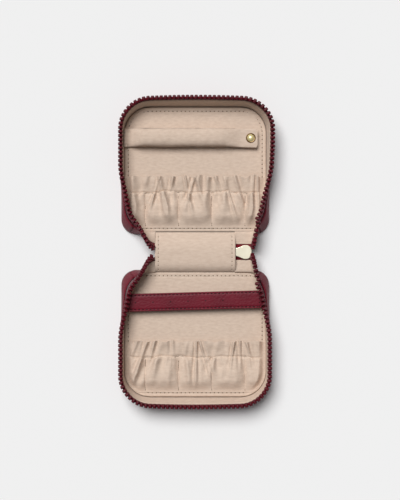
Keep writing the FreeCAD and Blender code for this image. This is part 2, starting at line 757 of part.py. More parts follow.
def build_roll():
    """Ring roll: cloth cover with a flat tab, foam core, and its snap."""
    skin = roll_loft("RollSkin", "0", "0")
    hollow = roll_loft("RollHollow", "Dims.roll_cloth", "3 * Dims.roll_cloth")
    core = roll_loft("RollCore", "(Dims.roll_cloth + Dims.layer_gap)", "3 * Dims.roll_cloth + Dims.layer_gap")
    shell = doc.addObject("Part::Cut", "RollShell")
    shell.Base = skin
    shell.Tool = hollow
    tab = doc.addObject("PartDesign::Body", "RollTab")
    overlap = "(Dims.roll_tab_start - 4 * Dims.layer_gap)"
    edge = "Dims.roll_half_width"
    outline_sketch = rounded_sketch(
        tab, "RollTabOutline", overlap, "Dims.roll_tab_end", f"-{edge}", edge, "Dims.roll_cloth", "Dims.roll_cloth"
    )
    pad(tab, outline_sketch, "Dims.roll_tab_thickness")
    tab.setExpression(".Placement.Base.y", ROLL_Y)
    tab.setExpression(".Placement.Base.z", TAB_LEVEL)
    cover = doc.addObject("Part::MultiFuse", "RollCover")
    cover.Shapes = [shell, tab]
    keep(cover, "ring_roll_cover")
    keep(core, "ring_roll_core")
    cap = [
        ("0", "0"),
        ("Dims.snap_cap_radius", "0"),
        ("Dims.snap_cap_radius", "0.5"),
        ("0.8 * Dims.snap_cap_radius", "1.1"),
        ("0.4 * Dims.snap_cap_radius", "1.35"),
        ("0", "1.4"),
    ]
    turned("ring_snap_cap", cap, "Dims.snap_offset", ROLL_Y, f"{TAB_LEVEL} + Dims.roll_tab_thickness")
    snap_socket("ring_snap_socket", "Dims.snap_offset", ROLL_Y, TAB_LEVEL)
    snap_stud("ring_snap_stud", "Dims.snap_offset", ROLL_Y, TOP_EXPR)
    wall = f"(Dims.tray_half_width - {INSET_EXPR})"
    corners = rectangle(f"-{wall}", "-Dims.roll_left - Dims.fit_clearance", "Dims.roll_half_width")
    block("ring_roll_anchor", corners, "2 * Dims.roll_tab_thickness", TOP_EXPR, "0", ROLL_Y)


STRAP_Y = "-Dims.spine_width / 2 - Dims.strap_centre"
STRAP_LEVEL = f"{TOP_EXPR} + Dims.strap_level"


def strap_layer(label, thickness, level):
    """One layer of the earring strap, with its row of holes."""
    body = new_body(label)
    edge = "Dims.strap_half_width"
    sketch = rounded_sketch(
        body, label + "_outline", "-Dims.strap_left", "Dims.strap_right", f"-{edge}", edge,
        "Dims.strap_corner", "Dims.strap_corner",
    )
    pad(body, sketch, thickness)
    holes = new_sketch(body, label + "_hole", "XY_Plane")
    first = "-Dims.strap_left + Dims.strap_first_hole"
    centre = FreeCAD.Vector(number(first), 0, 0)
    holes.addGeometry(Part.Circle(centre, FreeCAD.Vector(0, 0, 1), size("strap_hole_radius")), False)
    holes.addConstraint(Sketcher.Constraint("PointOnObject", 0, 3, -1))
    drive(holes, Sketcher.Constraint("DistanceX", -1, 1, 0, 3, centre.x), "first_hole", first)
    drive(holes, Sketcher.Constraint("Radius", 0, size("strap_hole_radius")), "hole_radius", "Dims.strap_hole_radius")
    pocket = body.newObject("PartDesign::Pocket", label + "_pocket")
    pocket.Profile = holes
    pocket.Type = "ThroughAll"
    pocket.Midplane = True
    body.Tip = pocket
    row = body.newObject("PartDesign::LinearPattern", label + "_row")
    row.Originals = [pocket]
    row.Direction = (holes, ["H_Axis"])
    row.Occurrences = 6
    row.setExpression("Length", "5 * Dims.strap_hole_pitch")
    body.Tip = row
    body.setExpression(".Placement.Base.y", STRAP_Y)
    body.setExpression(".Placement.Base.z", level)


def build_strap():
    """Earring strap, its sewn end, and the tab and snap that hold its free end."""
    strap_layer("strap_backing", "Dims.strap_backing", STRAP_LEVEL)
    strap_layer("earring_strap", "Dims.strap_leather", f"{STRAP_LEVEL} + Dims.strap_backing")
    wall = f"(Dims.tray_half_width - {INSET_EXPR} + Dims.fit_clearance - Dims.layer_gap)"
    stub = rectangle(f"-{wall}", "-Dims.strap_left - Dims.fit_clearance", "Dims.strap_half_width")
    thickness = "(Dims.strap_leather + Dims.strap_backing)"
    block("strap_anchor", stub, thickness, STRAP_LEVEL, "0", STRAP_Y)
    depth = "(Dims.snap_post_height + Dims.snap_clearance + Dims.snap_flange_thickness)"
    tab_top = f"{STRAP_LEVEL} - {depth}"
    tab = rectangle(f"{wall} - Dims.strap_tab_length", wall, "0.8 * Dims.strap_half_width")
    block("strap_tab", tab, "Dims.strap_tab_thickness", f"{tab_top} - Dims.strap_tab_thickness", "0", STRAP_Y)
    snap_stud("strap_snap_stud", "Dims.snap_offset", STRAP_Y, tab_top)
    snap_socket("strap_snap_socket", "Dims.snap_offset", STRAP_Y, STRAP_LEVEL)


SLIDER_LOW = "Dims.slider_centre_height - Dims.slider_slot / 2 - Dims.slider_plate"
PIVOT_X = "Dims.slider_start + Dims.slider_length / 2"


def slider_plate(body, name, level):
    """Plate of the zip slider: narrow tail and round nose."""
    sketch = new_sketch(body, name, "XY_Plane")
    tail = size("slider_tail")
    nose = size("slider_nose")
    centre_x = size("slider_length") - nose
    reach = math.hypot(centre_x, tail)
    angle = math.atan2(tail, -centre_x) - math.acos(nose / reach)
    touch = FreeCAD.Vector(centre_x + nose * math.cos(angle), nose * math.sin(angle), 0)
    circle = Part.Circle(FreeCAD.Vector(centre_x, 0, 0), FreeCAD.Vector(0, 0, 1), nose)
    sketch.addGeometry(Part.ArcOfCircle(circle, -angle, angle), False)
    sketch.addGeometry(Part.LineSegment(touch, FreeCAD.Vector(0, tail, 0)), False)
    sketch.addGeometry(Part.LineSegment(FreeCAD.Vector(0, tail, 0), FreeCAD.Vector(0, -tail, 0)), False)
    sketch.addGeometry(Part.LineSegment(FreeCAD.Vector(0, -tail, 0), FreeCAD.Vector(touch.x, -touch.y, 0)), False)
    sketch.addConstraint(Sketcher.Constraint("Tangent", 0, 2, 1, 1))
    sketch.addConstraint(Sketcher.Constraint("Coincident", 1, 2, 2, 1))
    sketch.addConstraint(Sketcher.Constraint("Coincident", 2, 2, 3, 1))
    sketch.addConstraint(Sketcher.Constraint("Tangent", 3, 2, 0, 1))
    sketch.addConstraint(Sketcher.Constraint("PointOnObject", 0, 3, -1))
    sketch.addConstraint(Sketcher.Constraint("PointOnObject", 2, 1, -2))
    sketch.addConstraint(Sketcher.Constraint("PointOnObject", 2, 2, -2))
    drive(sketch, Sketcher.Constraint("Radius", 0, nose), "nose_radius", "Dims.slider_nose")
    nose_x = "Dims.slider_length - Dims.slider_nose"
    drive(sketch, Sketcher.Constraint("DistanceX", -1, 1, 0, 3, centre_x), "nose_centre", nose_x)
    drive(sketch, Sketcher.Constraint("DistanceY", -1, 1, 2, 1, tail), "tail_up", "Dims.slider_tail")
    drive(sketch, Sketcher.Constraint("DistanceY", -1, 1, 2, 2, -tail), "tail_down", "-Dims.slider_tail")
    if level:
        sketch.setExpression(".AttachmentOffset.Base.z", level)
    return pad(body, sketch, "Dims.slider_plate")


def build_slider():
    """Zip slider with two plates on a neck, its bail, the pull, and the zip's tail."""
    body = new_body("slider_body")
    slider_plate(body, "slider_lower", "")
    half = "Dims.slider_neck"
    nose = "Dims.slider_length - Dims.slider_nose"
    neck = polygon_sketch(body, "slider_neck_outline", "XY_Plane", rectangle(nose, f"{nose} + 2 * {half}", half))
    pad(body, neck, "Dims.slider_plate + Dims.slider_slot")
    slider_plate(body, "slider_upper", "Dims.slider_plate + Dims.slider_slot")
    body.setExpression(".Placement.Base.x", "Dims.slider_start")
    body.setExpression(".Placement.Base.z", SLIDER_LOW)

    bail = new_body("slider_bail")
    outer = "Dims.bail_half_length"
    inner = "(Dims.bail_half_length - Dims.bail_gauge)"
    low = "-Dims.bail_height"
    bar = "-(Dims.bail_height - Dims.bail_gauge)"
    corners = [
        (f"-{outer}", "0"),
        (f"-{outer}", low),
        (outer, low),
        (outer, "0"),
        (inner, "0"),
        (inner, bar),
        (f"-{inner}", bar),
        (f"-{inner}", "0"),
    ]
    pad(bail, polygon_sketch(bail, "bail_profile", "XZ_Plane", corners), "2 * Dims.bail_half_width", True)
    bail.setExpression(".Placement.Base.x", PIVOT_X)
    bail.setExpression(".Placement.Base.z", SLIDER_LOW)

    pull = new_body("zip_pull")
    eye = "Dims.pull_eye_half_width"
    reach = "(Dims.pull_length - Dims.pull_radius)"
    blade = polygon_sketch(
        pull, "pull_blade", "XY_Plane",
        [
            ("-Dims.pull_length", "-0.5 * Dims.pull_radius"),
            (f"-{reach}", "-Dims.pull_radius"),
            ("Dims.pull_gauge / 2", f"-{eye}"),
            ("Dims.pull_gauge / 2", eye),
            (f"-{reach}", "Dims.pull_radius"),
            ("-Dims.pull_length", "0.5 * Dims.pull_radius"),
        ],
    )
    pad(pull, blade, "Dims.pull_gauge", True)
    slot_end = "-(Dims.bail_half_length + 1.2 * Dims.bail_gauge)"
    slot_half = "Dims.bail_half_width + Dims.fit_clearance"
    slot = polygon_sketch(pull, "pull_eye", "XY_Plane", rectangle(slot_end, "-Dims.pull_gauge / 2", slot_half))
    cut = pull.newObject("PartDesign::Pocket", "pull_eye_cut")
    cut.Profile = slot
    cut.Type = "ThroughAll"
    cut.Midplane = True
    pull.Tip = cut
    pull.setExpression(".Placement.Base.x", PIVOT_X)
    pull.setExpression(".Placement.Base.z", f"{SLIDER_LOW} - (Dims.bail_height - Dims.bail_gauge) / 2")

    tail_end = "Dims.slider_start - Dims.fit_clearance"
    tail = rectangle(f"{tail_end} - Dims.tail_length", tail_end, "Dims.tail_half_width")
    tail_low = f"{TOP_EXPR} + Dims.tape_gauge / 2"
    block("zip_tail_tape", tail, "Dims.tape_gauge", tail_low)
    middle = f"({tail_end} - Dims.tail_length / 2)"
    stop = rectangle(f"{middle} - Dims.stop_length / 2", f"{middle} + Dims.stop_length / 2", "Dims.stop_half_width")
    block("zip_bottom_stop", stop, "Dims.stop_height", f"{tail_low} - Dims.stop_height")


for tray in ("base", "lid"):
    build_plates(tray)
    build_walls(tray)
    build_ends(tray)
    build_teeth(tray)
    build_pocket(tray)
build_spine()
build_roll()
build_strap()
build_slider()
doc.recompute()

for obj in doc.Objects:
    if "Invalid" in obj.State or "Error" in obj.State:
        raise RuntimeError(f"{obj.Label} did not compute: {obj.State}")
os.makedirs("parts", exist_ok=True)
for obj in parts:
    if obj.Shape.isNull() or not obj.Shape.isValid():
        raise RuntimeError(f"{obj.Label} has no valid shape")
    obj.Shape.exportStep(f"parts/{obj.Label}.step")
print(len(parts), "sub-parts written")
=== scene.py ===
import json
import logging
import math
import random
from dataclasses import dataclass
from enum import Enum
from typing import Callable

import bmesh
import bpy
from mathutils import Matrix, Vector, noise


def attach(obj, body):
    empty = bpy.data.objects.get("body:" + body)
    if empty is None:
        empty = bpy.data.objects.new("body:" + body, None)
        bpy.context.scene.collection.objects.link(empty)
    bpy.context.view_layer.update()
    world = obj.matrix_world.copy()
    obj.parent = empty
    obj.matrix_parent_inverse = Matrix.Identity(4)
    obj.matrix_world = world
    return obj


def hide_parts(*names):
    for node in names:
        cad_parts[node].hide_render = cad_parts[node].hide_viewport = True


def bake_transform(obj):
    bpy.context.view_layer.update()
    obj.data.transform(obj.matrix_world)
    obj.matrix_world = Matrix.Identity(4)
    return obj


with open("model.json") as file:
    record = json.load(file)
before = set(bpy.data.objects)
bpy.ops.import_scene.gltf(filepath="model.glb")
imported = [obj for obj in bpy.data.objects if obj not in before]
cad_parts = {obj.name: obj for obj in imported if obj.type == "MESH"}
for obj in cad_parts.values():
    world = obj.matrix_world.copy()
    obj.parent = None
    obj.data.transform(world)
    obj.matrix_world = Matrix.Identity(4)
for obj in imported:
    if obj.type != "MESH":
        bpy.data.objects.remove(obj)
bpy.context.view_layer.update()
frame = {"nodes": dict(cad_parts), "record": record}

log = logging.getLogger("jewellery_case")
MM = 0.001
TOUCHING = 1e-6
UP = Vector((0, 0, 1))
QUARTER_TURN = math.pi / 2
Colour = tuple[float, float, float, float]
Triple = tuple[float, float, float]
Profile = list[tuple[float, float]]
Spot = tuple[Vector, Vector, Vector]
Place = Callable[[float, float], Vector]
PathPlace = Callable[[float, float, float], Vector]


class Half(Enum):
    """The two trays, each with the way it lies from the spine."""

    BASE = -1
    LID = 1

    @property
    def key(self) -> str:
        """Prefix of this tray's nodes."""
        return self.name.lower()

    @property
    def body(self) -> str:
        """Name of this tray's rigid body."""
        return f"{self.key}_tray"


class Side(Enum):
    """The two ends of the spine."""

    LEFT = -1
    RIGHT = 1

    @property
    def key(self) -> str:
        """Word used in node names."""
        return self.name.lower()


@dataclass(frozen=True)
class Sizes:
    """Driving sizes of the case, in millimetres."""

    half_width: float = 49.6
    far: float = 86.6
    front_radius: float = 18.6
    rear_radius: float = 9.0
    side_flare: float = 0.8
    front_flare: float = 4.3
    rim_front_radius: float = 19.5
    far_bow: float = 1.6
    rim_rear_radius: float = 20.0
    fold_y: float = 13.7
    wall_base: float = 1.2
    panel_top: float = 4.5
    tape_width: float = 14.0
    layer: float = 0.3
    leather: float = 1.1
    lining: float = 0.6
    leather_top: float = 11.6
    lining_top: float = 12.8
    wing_start: float = 45.0
    left_twist_start: float = 40.6
    left_twist_end: float = 22.5
    right_twist_start: float = 42.5
    right_twist_end: float = 37.7
    teeth_end: float = 38.9
    panel_start: float = 0.2
    panel_rear_radius: float = 11.6
    spine_edge: float = 27.8
    rear_lean: float = 4.6
    lean_reach: float = 46.0
    lean_run: float = 32.0
    left_lean_fade: float = 13.0
    right_lean_fade: float = 5.0
    lean_curve: float = 1.3
    lean_limit: float = 1.2
    lid_right_lean: float = 1.8
    lid_lean_start: float = 15.0
    lid_lean_run: float = 50.0
    end_trim: float = 0.75
    end_inset: float = 0.6
    end_fold_height: float = 1.5
    end_fold_lead: float = 0.3
    panel_clearance: float = 0.3
    tooth_pitch: float = 2.95
    stitch_pitch: float = 2.85
    snap_x: float = 38.0
    snap_y: float = 77.9

    @property
    def rim(self) -> float:
        """Height of the tape's toothed edge."""
        return self.wall_base + self.tape_width

    @property
    def panel_inset(self) -> float:
        """Distance from the wall's middle surface to the inner panel's edge."""
        return self.layer + self.lining + self.panel_clearance


CASE = Sizes()


def smoothstep(value: float) -> float:
    """Smooth share between 0 and 1."""
    value = min(1.0, max(0.0, value))
    return value * value * (3 - 2 * value)


def signed_power(value: float, power: float) -> float:
    """A value raised to a power with its sign kept, for rounded square sections."""
    return math.copysign(abs(value) ** power, value)


def patches(x: float, share: float, rates: tuple[float, float], line: float) -> float:
    """Soft uneven patches of cloth between -1 and 1, by x, a share and how fast each changes them."""
    return noise.noise(Vector((x * rates[0], share * rates[1], line)))


def tray_point(half: Half, x: float, d: float, z: float) -> Vector:
    """Point of a tray in the row frame.

    Args:
        half: The tray.
        x: Along the spine, mm.
        d: From the fold line to the far edge, mm.
        z: Height, mm.

    Returns:
        The point in metres.
    """
    return Vector((x, half.value * (CASE.fold_y + d), z)) * MM


class Wall:
    """The middle surface of a tray's wall, in the closed case and folded out."""

    @staticmethod
    def outline(share: float) -> tuple[float, float, float, float]:
        """Plan of the U-shaped wall at a height.

        Args:
            share: Share of the wall's height, 0 at its foot and 1 at the rim.

        Returns:
            Half width, far edge, front radius and rear radius, mm.
        """
        return (
            CASE.half_width + share * CASE.side_flare,
            CASE.far + share * CASE.front_flare,
            CASE.front_radius + share * (CASE.rim_front_radius - CASE.front_radius),
            CASE.rear_radius + share * (CASE.rim_rear_radius - CASE.rear_radius),
        )

    @staticmethod
    def lean(half: Half, x: float, d: float, share: float) -> float:
        """How far the soft wall leans along X.

        Args:
            half: The tray.
            x: Along the spine, mm.
            d: From the fold line, mm.
            share: Share of the wall's height.

        Returns:
            The shift of the point along X, mm.
        """
        fade_from, fade = CASE.spine_edge, CASE.left_lean_fade
        if x >= 0:
            fade_from, fade = CASE.right_twist_start, CASE.right_lean_fade
        near = smoothstep((CASE.lean_reach - d) / CASE.lean_run)
        inward = CASE.rear_lean * near * smoothstep((abs(x) - fade_from) / fade)
        outward = 0.0
        if half is Half.LID and x > 0:
            far = smoothstep((d - CASE.lid_lean_start) / CASE.lid_lean_run)
            outward = CASE.lid_right_lean * far * x / CASE.half_width
        height = min(CASE.lean_limit, max(0.0, share)) ** CASE.lean_curve
        return math.copysign(1.0, x) * (outward - inward) * height

    @classmethod
    def u_lengths(cls) -> list[float]:
        """Lengths along the rim of half the U-shaped wall.

        Returns:
            Far edge, front corner, side and rear corner, mm.
        """
        width, far, front, rear = cls.outline(1)
        turn = math.acos((CASE.wing_start - width + rear) / rear)
        return [width - front, front * QUARTER_TURN, far - front - rear, rear * turn]

    @classmethod
    def u_point(cls, half: Half, run: float, offset: float, z: float) -> Vector:
        """Point of the U-shaped wall as the soft wall leans.

        Args:
            half: The tray.
            run: Signed distance along the rim from the far middle, mm.
            offset: Distance outwards from the middle surface, mm.
            z: Height, mm.

        Returns:
            The point in metres.
        """
        x, d = cls.u_line(run, offset, z)
        share = (z - CASE.wall_base) / CASE.tape_width
        return tray_point(half, x + cls.lean(half, x, d, share), d - cls.bow(x, d, share), z)

    @staticmethod
    def bow(x: float, d: float, share: float) -> float:
        """How far the far wall falls back towards its corners at a share of its height, mm."""
        height = min(CASE.lean_limit, max(0.0, share))
        return CASE.far_bow * (x / CASE.half_width) ** 2 * smoothstep(d / CASE.far * 2 - 1) * height

    @classmethod
    def u_line(cls, run: float, offset: float, z: float) -> tuple[float, float]:
        """Plan of the U-shaped wall at one height.

        Args:
            run: Signed distance along the rim from the far middle, mm.
            offset: Distance outwards from the middle surface, mm.
            z: Height, mm.

        Returns:
            The x and d of the point, mm.
        """
        share = (z - CASE.wall_base) / CASE.tape_width
        width, far, front, rear = cls.outline(min(1.0, share))
        sign = 1 if run >= 0 else -1
        left = abs(run)
        lengths = cls.u_lengths()
        if left <= lengths[0]:
            return sign * (width - front) * left / lengths[0], far + offset
        left -= lengths[0]
        if left <= lengths[1]:
            turn = left / lengths[1] * QUARTER_TURN
            reach = front + offset
            x = width - front + reach * math.sin(turn)
            return sign * x, far - front + reach * math.cos(turn)
        left -= lengths[1]
        if left <= lengths[2]:
            d = far - front - (far - front - rear) * left / lengths[2]
            return sign * (width + offset), d
        left -= lengths[2]
        reach = rear + offset
        turn = left / lengths[3] * math.acos((CASE.wing_start - width + rear) / reach)
        x = width - rear + reach * math.cos(turn)
        return sign * x, rear - reach * math.sin(turn)

    @staticmethod
    def twist(x: float) -> float:
        """Angle by which a gusset end lies over at x, radians."""
        start, end = Wall.twist_span(Side.LEFT if x < 0 else Side.RIGHT)
        return smoothstep((start - abs(x)) / (start - end)) * QUARTER_TURN

    @classmethod
    def trimmed(cls, x: float, z: float) -> float:
        """Height of a gusset end's point once its lower edge is cut back beside the spine."""
        below = max(0.0, CASE.panel_top - z)
        return z + below * CASE.end_trim * cls.twist(x) / QUARTER_TURN

    @staticmethod
    def twist_span(side: Side) -> tuple[float, float]:
        """Where a gusset end lies over.

        Args:
            side: The end of the spine.

        Returns:
            Where it starts to lie over and where it lies flat, mm from the middle.
        """
        if side is Side.LEFT:
            return CASE.left_twist_start, CASE.left_twist_end
        return CASE.right_twist_start, CASE.right_twist_end

    @classmethod
    def wing_point(cls, half: Half, x: float, offset: float, z: float) -> Vector:
        """Point of a gusset end, folded out as it lies in the open case.

        Args:
            half: Tray that the gusset end belongs to.
            x: Along the spine, mm.
            offset: Distance outwards from the middle surface, mm.
            z: Height before it folds out, mm.

        Returns:
            The point in metres.
        """
        ends = []
        for share in (0, 1):
            width, _, _, rear = cls.outline(share)
            reach = abs(x) - width + rear
            ends.append(0.0 if reach <= 0 else rear - math.sqrt(rear * rear - reach * reach))
        share = (z - CASE.wall_base) / CASE.tape_width
        d = ends[0] + min(1.0, share) * (ends[1] - ends[0]) - offset
        leaning = x + cls.lean(half, x, d, share)
        rise = z - CASE.panel_top
        if rise <= 0:
            return tray_point(half, leaning, d, z)
        angle = cls.twist(leaning) * smoothstep(rise / CASE.end_fold_height + CASE.end_fold_lead)
        height = CASE.panel_top + d * math.sin(angle) + rise * math.cos(angle)
        return tray_point(half, leaning, d * math.cos(angle) - rise * math.sin(angle), height)

    @classmethod
    def rim_x(cls, run: float) -> tuple[float, float]:
        """Point of the closed zip line, which goes on past the U-shaped wall.

        Args:
            run: Signed distance along the rim from the far middle, mm.

        Returns:
            The x and d of the point, mm.
        """
        width, far, front, rear = cls.outline(1)
        left = abs(run) - (width - front) - front * QUARTER_TURN - (far - front - rear)
        sign = 1 if run >= 0 else -1
        if left <= rear * QUARTER_TURN:
            turn = left / rear
            return sign * (width - rear + rear * math.cos(turn)), rear - rear * math.sin(turn)
        return sign * (width - rear - left + rear * QUARTER_TURN), 0.0


def panel_edge(d: float, grow: float = 0.0) -> float:
    """Half width of the inner panel at d.

    Args:
        d: From the fold line, mm.
        grow: How far beyond the panel's edge, mm.

    Returns:
        The half width, mm.
    """
    half_width = CASE.half_width - CASE.panel_inset + grow
    far = CASE.far - CASE.panel_inset + grow
    front = CASE.front_radius - CASE.panel_inset + grow
    rear = CASE.panel_rear_radius - CASE.panel_inset
    low = CASE.panel_start + rear - d
    high = d - far + front
    if low > 0:
        return half_width - rear + math.sqrt(max(0.0, rear * rear - low * low))
    if high > 0:
        return half_width - front + math.sqrt(max(0.0, front * front - high * high))
    return half_width


class NodeKit:
    """Builds one material's node tree."""

    def __init__(self, name: str) -> None:
        """Start an empty material.

        Args:
            name: Name of the material.
        """
        self.material = bpy.data.materials.new(name)
        self.material.use_nodes = True
        self.tree = self.material.node_tree
        self.shader = self.tree.nodes["Principled BSDF"]
        self.coords = self.tree.nodes.new("ShaderNodeTexCoord").outputs["Object"]

    def node(self, kind: str, **inputs: object) -> bpy.types.Node:
        """Add a node and set or link its inputs.

        Args:
            kind: Type of the node.
            inputs: Constant or socket for each input by name.

        Returns:
            The node.
        """
        made = self.tree.nodes.new(kind)
        for name, value in inputs.items():
            self.feed(made, name.replace("_", " "), value)
        return made

    def feed(self, node: bpy.types.Node, name: str, value: object) -> None:
        """Link a socket to an input, or set the input's constant.

        Args:
            node: Node with the input.
            name: Name of the input.
            value: Socket or constant.
        """
        if isinstance(value, bpy.types.NodeSocket):
            self.tree.links.new(value, node.inputs[name])
        else:
            node.inputs[name].default_value = value

    def mix(self, share: object, low: object, high: object) -> bpy.types.NodeSocket:
        """Mix two colours.

        Args:
            share: Share of the second colour.
            low: First colour.
            high: Second colour.

        Returns:
            Socket of the mixed colour.
        """
        made = self.tree.nodes.new("ShaderNodeMix")
        made.data_type = "RGBA"
        factor, first_colour, second_colour, mixed_colour = 0, 6, 7, 2
        for index, value in ((factor, share), (first_colour, low), (second_colour, high)):
            if isinstance(value, bpy.types.NodeSocket):
                self.tree.links.new(value, made.inputs[index])
            else:
                made.inputs[index].default_value = value
        return made.outputs[mixed_colour]

    def group(self, tree: bpy.types.NodeTree, **inputs: object) -> bpy.types.Node:
        """Use a shared effect.

        Args:
            tree: Node group of the effect.
            inputs: Constant or socket for each input by name.

        Returns:
            The group's node.
        """
        made = self.tree.nodes.new("ShaderNodeGroup")
        made.node_tree = tree
        for name, value in inputs.items():
            self.feed(made, name, value)
        return made


def new_group(name: str, inputs: dict[str, float], outputs: list[str]) -> bpy.types.NodeTree:
    """An empty shared effect with a Vector input and float inputs and outputs.

    Args:
        name: The group's name.
        inputs: Float inputs with their defaults.
        outputs: Names of the float outputs.

    Returns:
        The node group.
    """
    tree = bpy.data.node_groups.new(name, "ShaderNodeTree")
    tree.interface.new_socket("Vector", in_out="INPUT", socket_type="NodeSocketVector")
    for key, value in inputs.items():
        socket = tree.interface.new_socket(key, in_out="INPUT", socket_type="NodeSocketFloat")
        socket.default_value = value
    for key in outputs:
        tree.interface.new_socket(key, in_out="OUTPUT", socket_type="NodeSocketFloat")
    tree.nodes.new("NodeGroupInput")
    tree.nodes.new("NodeGroupOutput")
    return tree


def math_node(tree: bpy.types.NodeTree, kind: str, first: object, second: object) -> bpy.types.NodeSocket:
    """Add a Math node to a tree.

    Args:
        tree: Tree that takes the node.
        kind: Operation of the node.
        first: First socket or constant.
        second: Second socket or constant.

    Returns:
        Socket of the result.
    """
    made = tree.nodes.new("ShaderNodeMath")
    made.operation = kind
    for index, value in enumerate((first, second)):
        if isinstance(value, bpy.types.NodeSocket):
            tree.links.new(value, made.inputs[index])
        else:
            made.inputs[index].default_value = value
    return made.outputs[0]


def weave_group() -> bpy.types.NodeTree:
    """Plain weave: thread height and a slow slub.

    Returns:
        The node group.
    """
    unevenness, thread_detail = 1.2, 1.0
    slub_scale, slub_detail, slub_stretch = 620.0, 4.0, (0.5, 1.3, 1.0)
    tree = new_group("Weave", {"Scale": 900.0}, ["Height", "Slub"])
    nodes = tree.nodes
    source = nodes["Group Input"].outputs
    waves = []
    for direction in ("X", "Y"):
        wave = nodes.new("ShaderNodeTexWave")
        wave.bands_direction = direction
        wave.inputs["Distortion"].default_value = unevenness
        wave.inputs["Detail"].default_value = thread_detail
        tree.links.new(source["Vector"], wave.inputs["Vector"])
        tree.links.new(source["Scale"], wave.inputs["Scale"])
        waves.append(wave.outputs["Fac"])
    slub = nodes.new("ShaderNodeTexNoise")
    slub.inputs["Detail"].default_value = slub_detail
    slub.inputs["Scale"].default_value = slub_scale
    stretch = nodes.new("ShaderNodeVectorMath")
    stretch.operation = "MULTIPLY"
    stretch.inputs[1].default_value = slub_stretch
    tree.links.new(source["Vector"], stretch.inputs[0])
    tree.links.new(stretch.outputs[0], slub.inputs["Vector"])
    out = nodes["Group Output"].inputs
    tree.links.new(math_node(tree, "MULTIPLY", waves[0], waves[1]), out["Height"])
    tree.links.new(slub.outputs["Fac"], out["Slub"])
    return tree


def pebble_group() -> bpy.types.NodeTree:
    """Pebbled leather: rounded cells with creases, and slow tone.

    Returns:
        The node group.
    """
    tone_scale, tone_detail = 90.0, 4.0
    tree = new_group("Pebble", {"Scale": 900.0}, ["Height", "Tone"])
    nodes = tree.nodes
    source = nodes["Group Input"].outputs
    cells = nodes.new("ShaderNodeTexVoronoi")
    cells.feature = "SMOOTH_F1"
    tree.links.new(source["Vector"], cells.inputs["Vector"])
    tree.links.new(source["Scale"], cells.inputs["Scale"])
    tone = nodes.new("ShaderNodeTexNoise")
    tone.inputs["Scale"].default_value = tone_scale
    tone.inputs["Detail"].default_value = tone_detail
    tree.links.new(source["Vector"], tone.inputs["Vector"])
    out = nodes["Group Output"].inputs
    tree.links.new(math_node(tree, "SUBTRACT", 1.0, cells.outputs["Distance"]), out["Height"])
    tree.links.new(tone.outputs["Fac"], out["Tone"])
    return tree


def srgb(red: int, green: int, blue: int) -> Colour:
    """Linear colour from 8-bit sRGB.

    Args:
        red: Red channel.
        green: Green channel.
        blue: Blue channel.

    Returns:
        The colour with full alpha.
    """

    def linear(value: float) -> float:
        """Linear value of one 8-bit channel."""
        value /= 255
        return value / 12.92 if value <= 0.04045 else ((value + 0.055) / 1.055) ** 2.4

    return linear(red), linear(green), linear(blue), 1.0


def dimmed(colour: Colour, share: float) -> Colour:
    """A colour at a share of its brightness."""
    return tuple(share * channel for channel in colour[:3]) + (1.0,)


@dataclass(frozen=True)
class Cloth:
    """A woven finish, with painted shade in the hollows between its threads."""

    name: str
    low: Colour
    high: Colour
    scale: float = 420.0
    bump: float = 0.35
    roughness: float = 0.9
    # Painted shade in the weave's hollows: how dark it is and how strongly it is mixed in.
    hollow_tone: float = 0.8
    hollow_share: float = 0.35
    thread_height: float = 0.2
    sheen: float = 0.15
    gloss: float = 0.15

    def build(self, weave: bpy.types.NodeTree) -> bpy.types.Material:
        """Make the cloth's material.

        Args:
            weave: Node group of the weave.

        Returns:
            The material.
        """
        kit = NodeKit(self.name)
        cloth = kit.group(weave, Vector=kit.coords, Scale=self.scale)
        slow = kit.mix(cloth.outputs["Slub"], self.low, self.high)
        # Painted shade: the low hollows of the weave are mixed towards a darker tone.
        hollow_shade = kit.mix(self.hollow_share, slow, dimmed(self.low, self.hollow_tone))
        kit.feed(kit.shader, "Base Color", kit.mix(cloth.outputs["Height"], hollow_shade, slow))
        bump = kit.node("ShaderNodeBump", Strength=self.bump, Height=cloth.outputs["Height"])
        kit.feed(bump, "Distance", self.thread_height * MM)
        kit.feed(kit.shader, "Normal", bump.outputs["Normal"])
        kit.feed(kit.shader, "Roughness", self.roughness)
        kit.feed(kit.shader, "Sheen Weight", self.sheen)
        kit.feed(kit.shader, "Specular IOR Level", self.gloss)
        return kit.material


@dataclass(frozen=True)
class Leather:
    """A grained finish, for leather and moulded teeth."""

    name: str
    low: Colour
    high: Colour
    scale: float = 900.0
    bump: float = 0.5
    roughness: float = 0.5
    grain_height: float = 0.3
    gloss: float = 0.25

    def build(self, pebble: bpy.types.NodeTree) -> bpy.types.Material:
        """Make the leather's material.

        Args:
            pebble: Node group of the pebbled grain.

        Returns:
            The material.
        """
        kit = NodeKit(self.name)
        grain = kit.group(pebble, Vector=kit.coords, Scale=self.scale)
        kit.feed(kit.shader, "Base Color", kit.mix(grain.outputs["Tone"], self.low, self.high))
        bump = kit.node("ShaderNodeBump", Strength=self.bump, Height=grain.outputs["Height"])
        kit.feed(bump, "Distance", self.grain_height * MM)
        kit.feed(kit.shader, "Normal", bump.outputs["Normal"])
        kit.feed(kit.shader, "Roughness", self.roughness)
        kit.feed(kit.shader, "Specular IOR Level", self.gloss)
        return kit.material


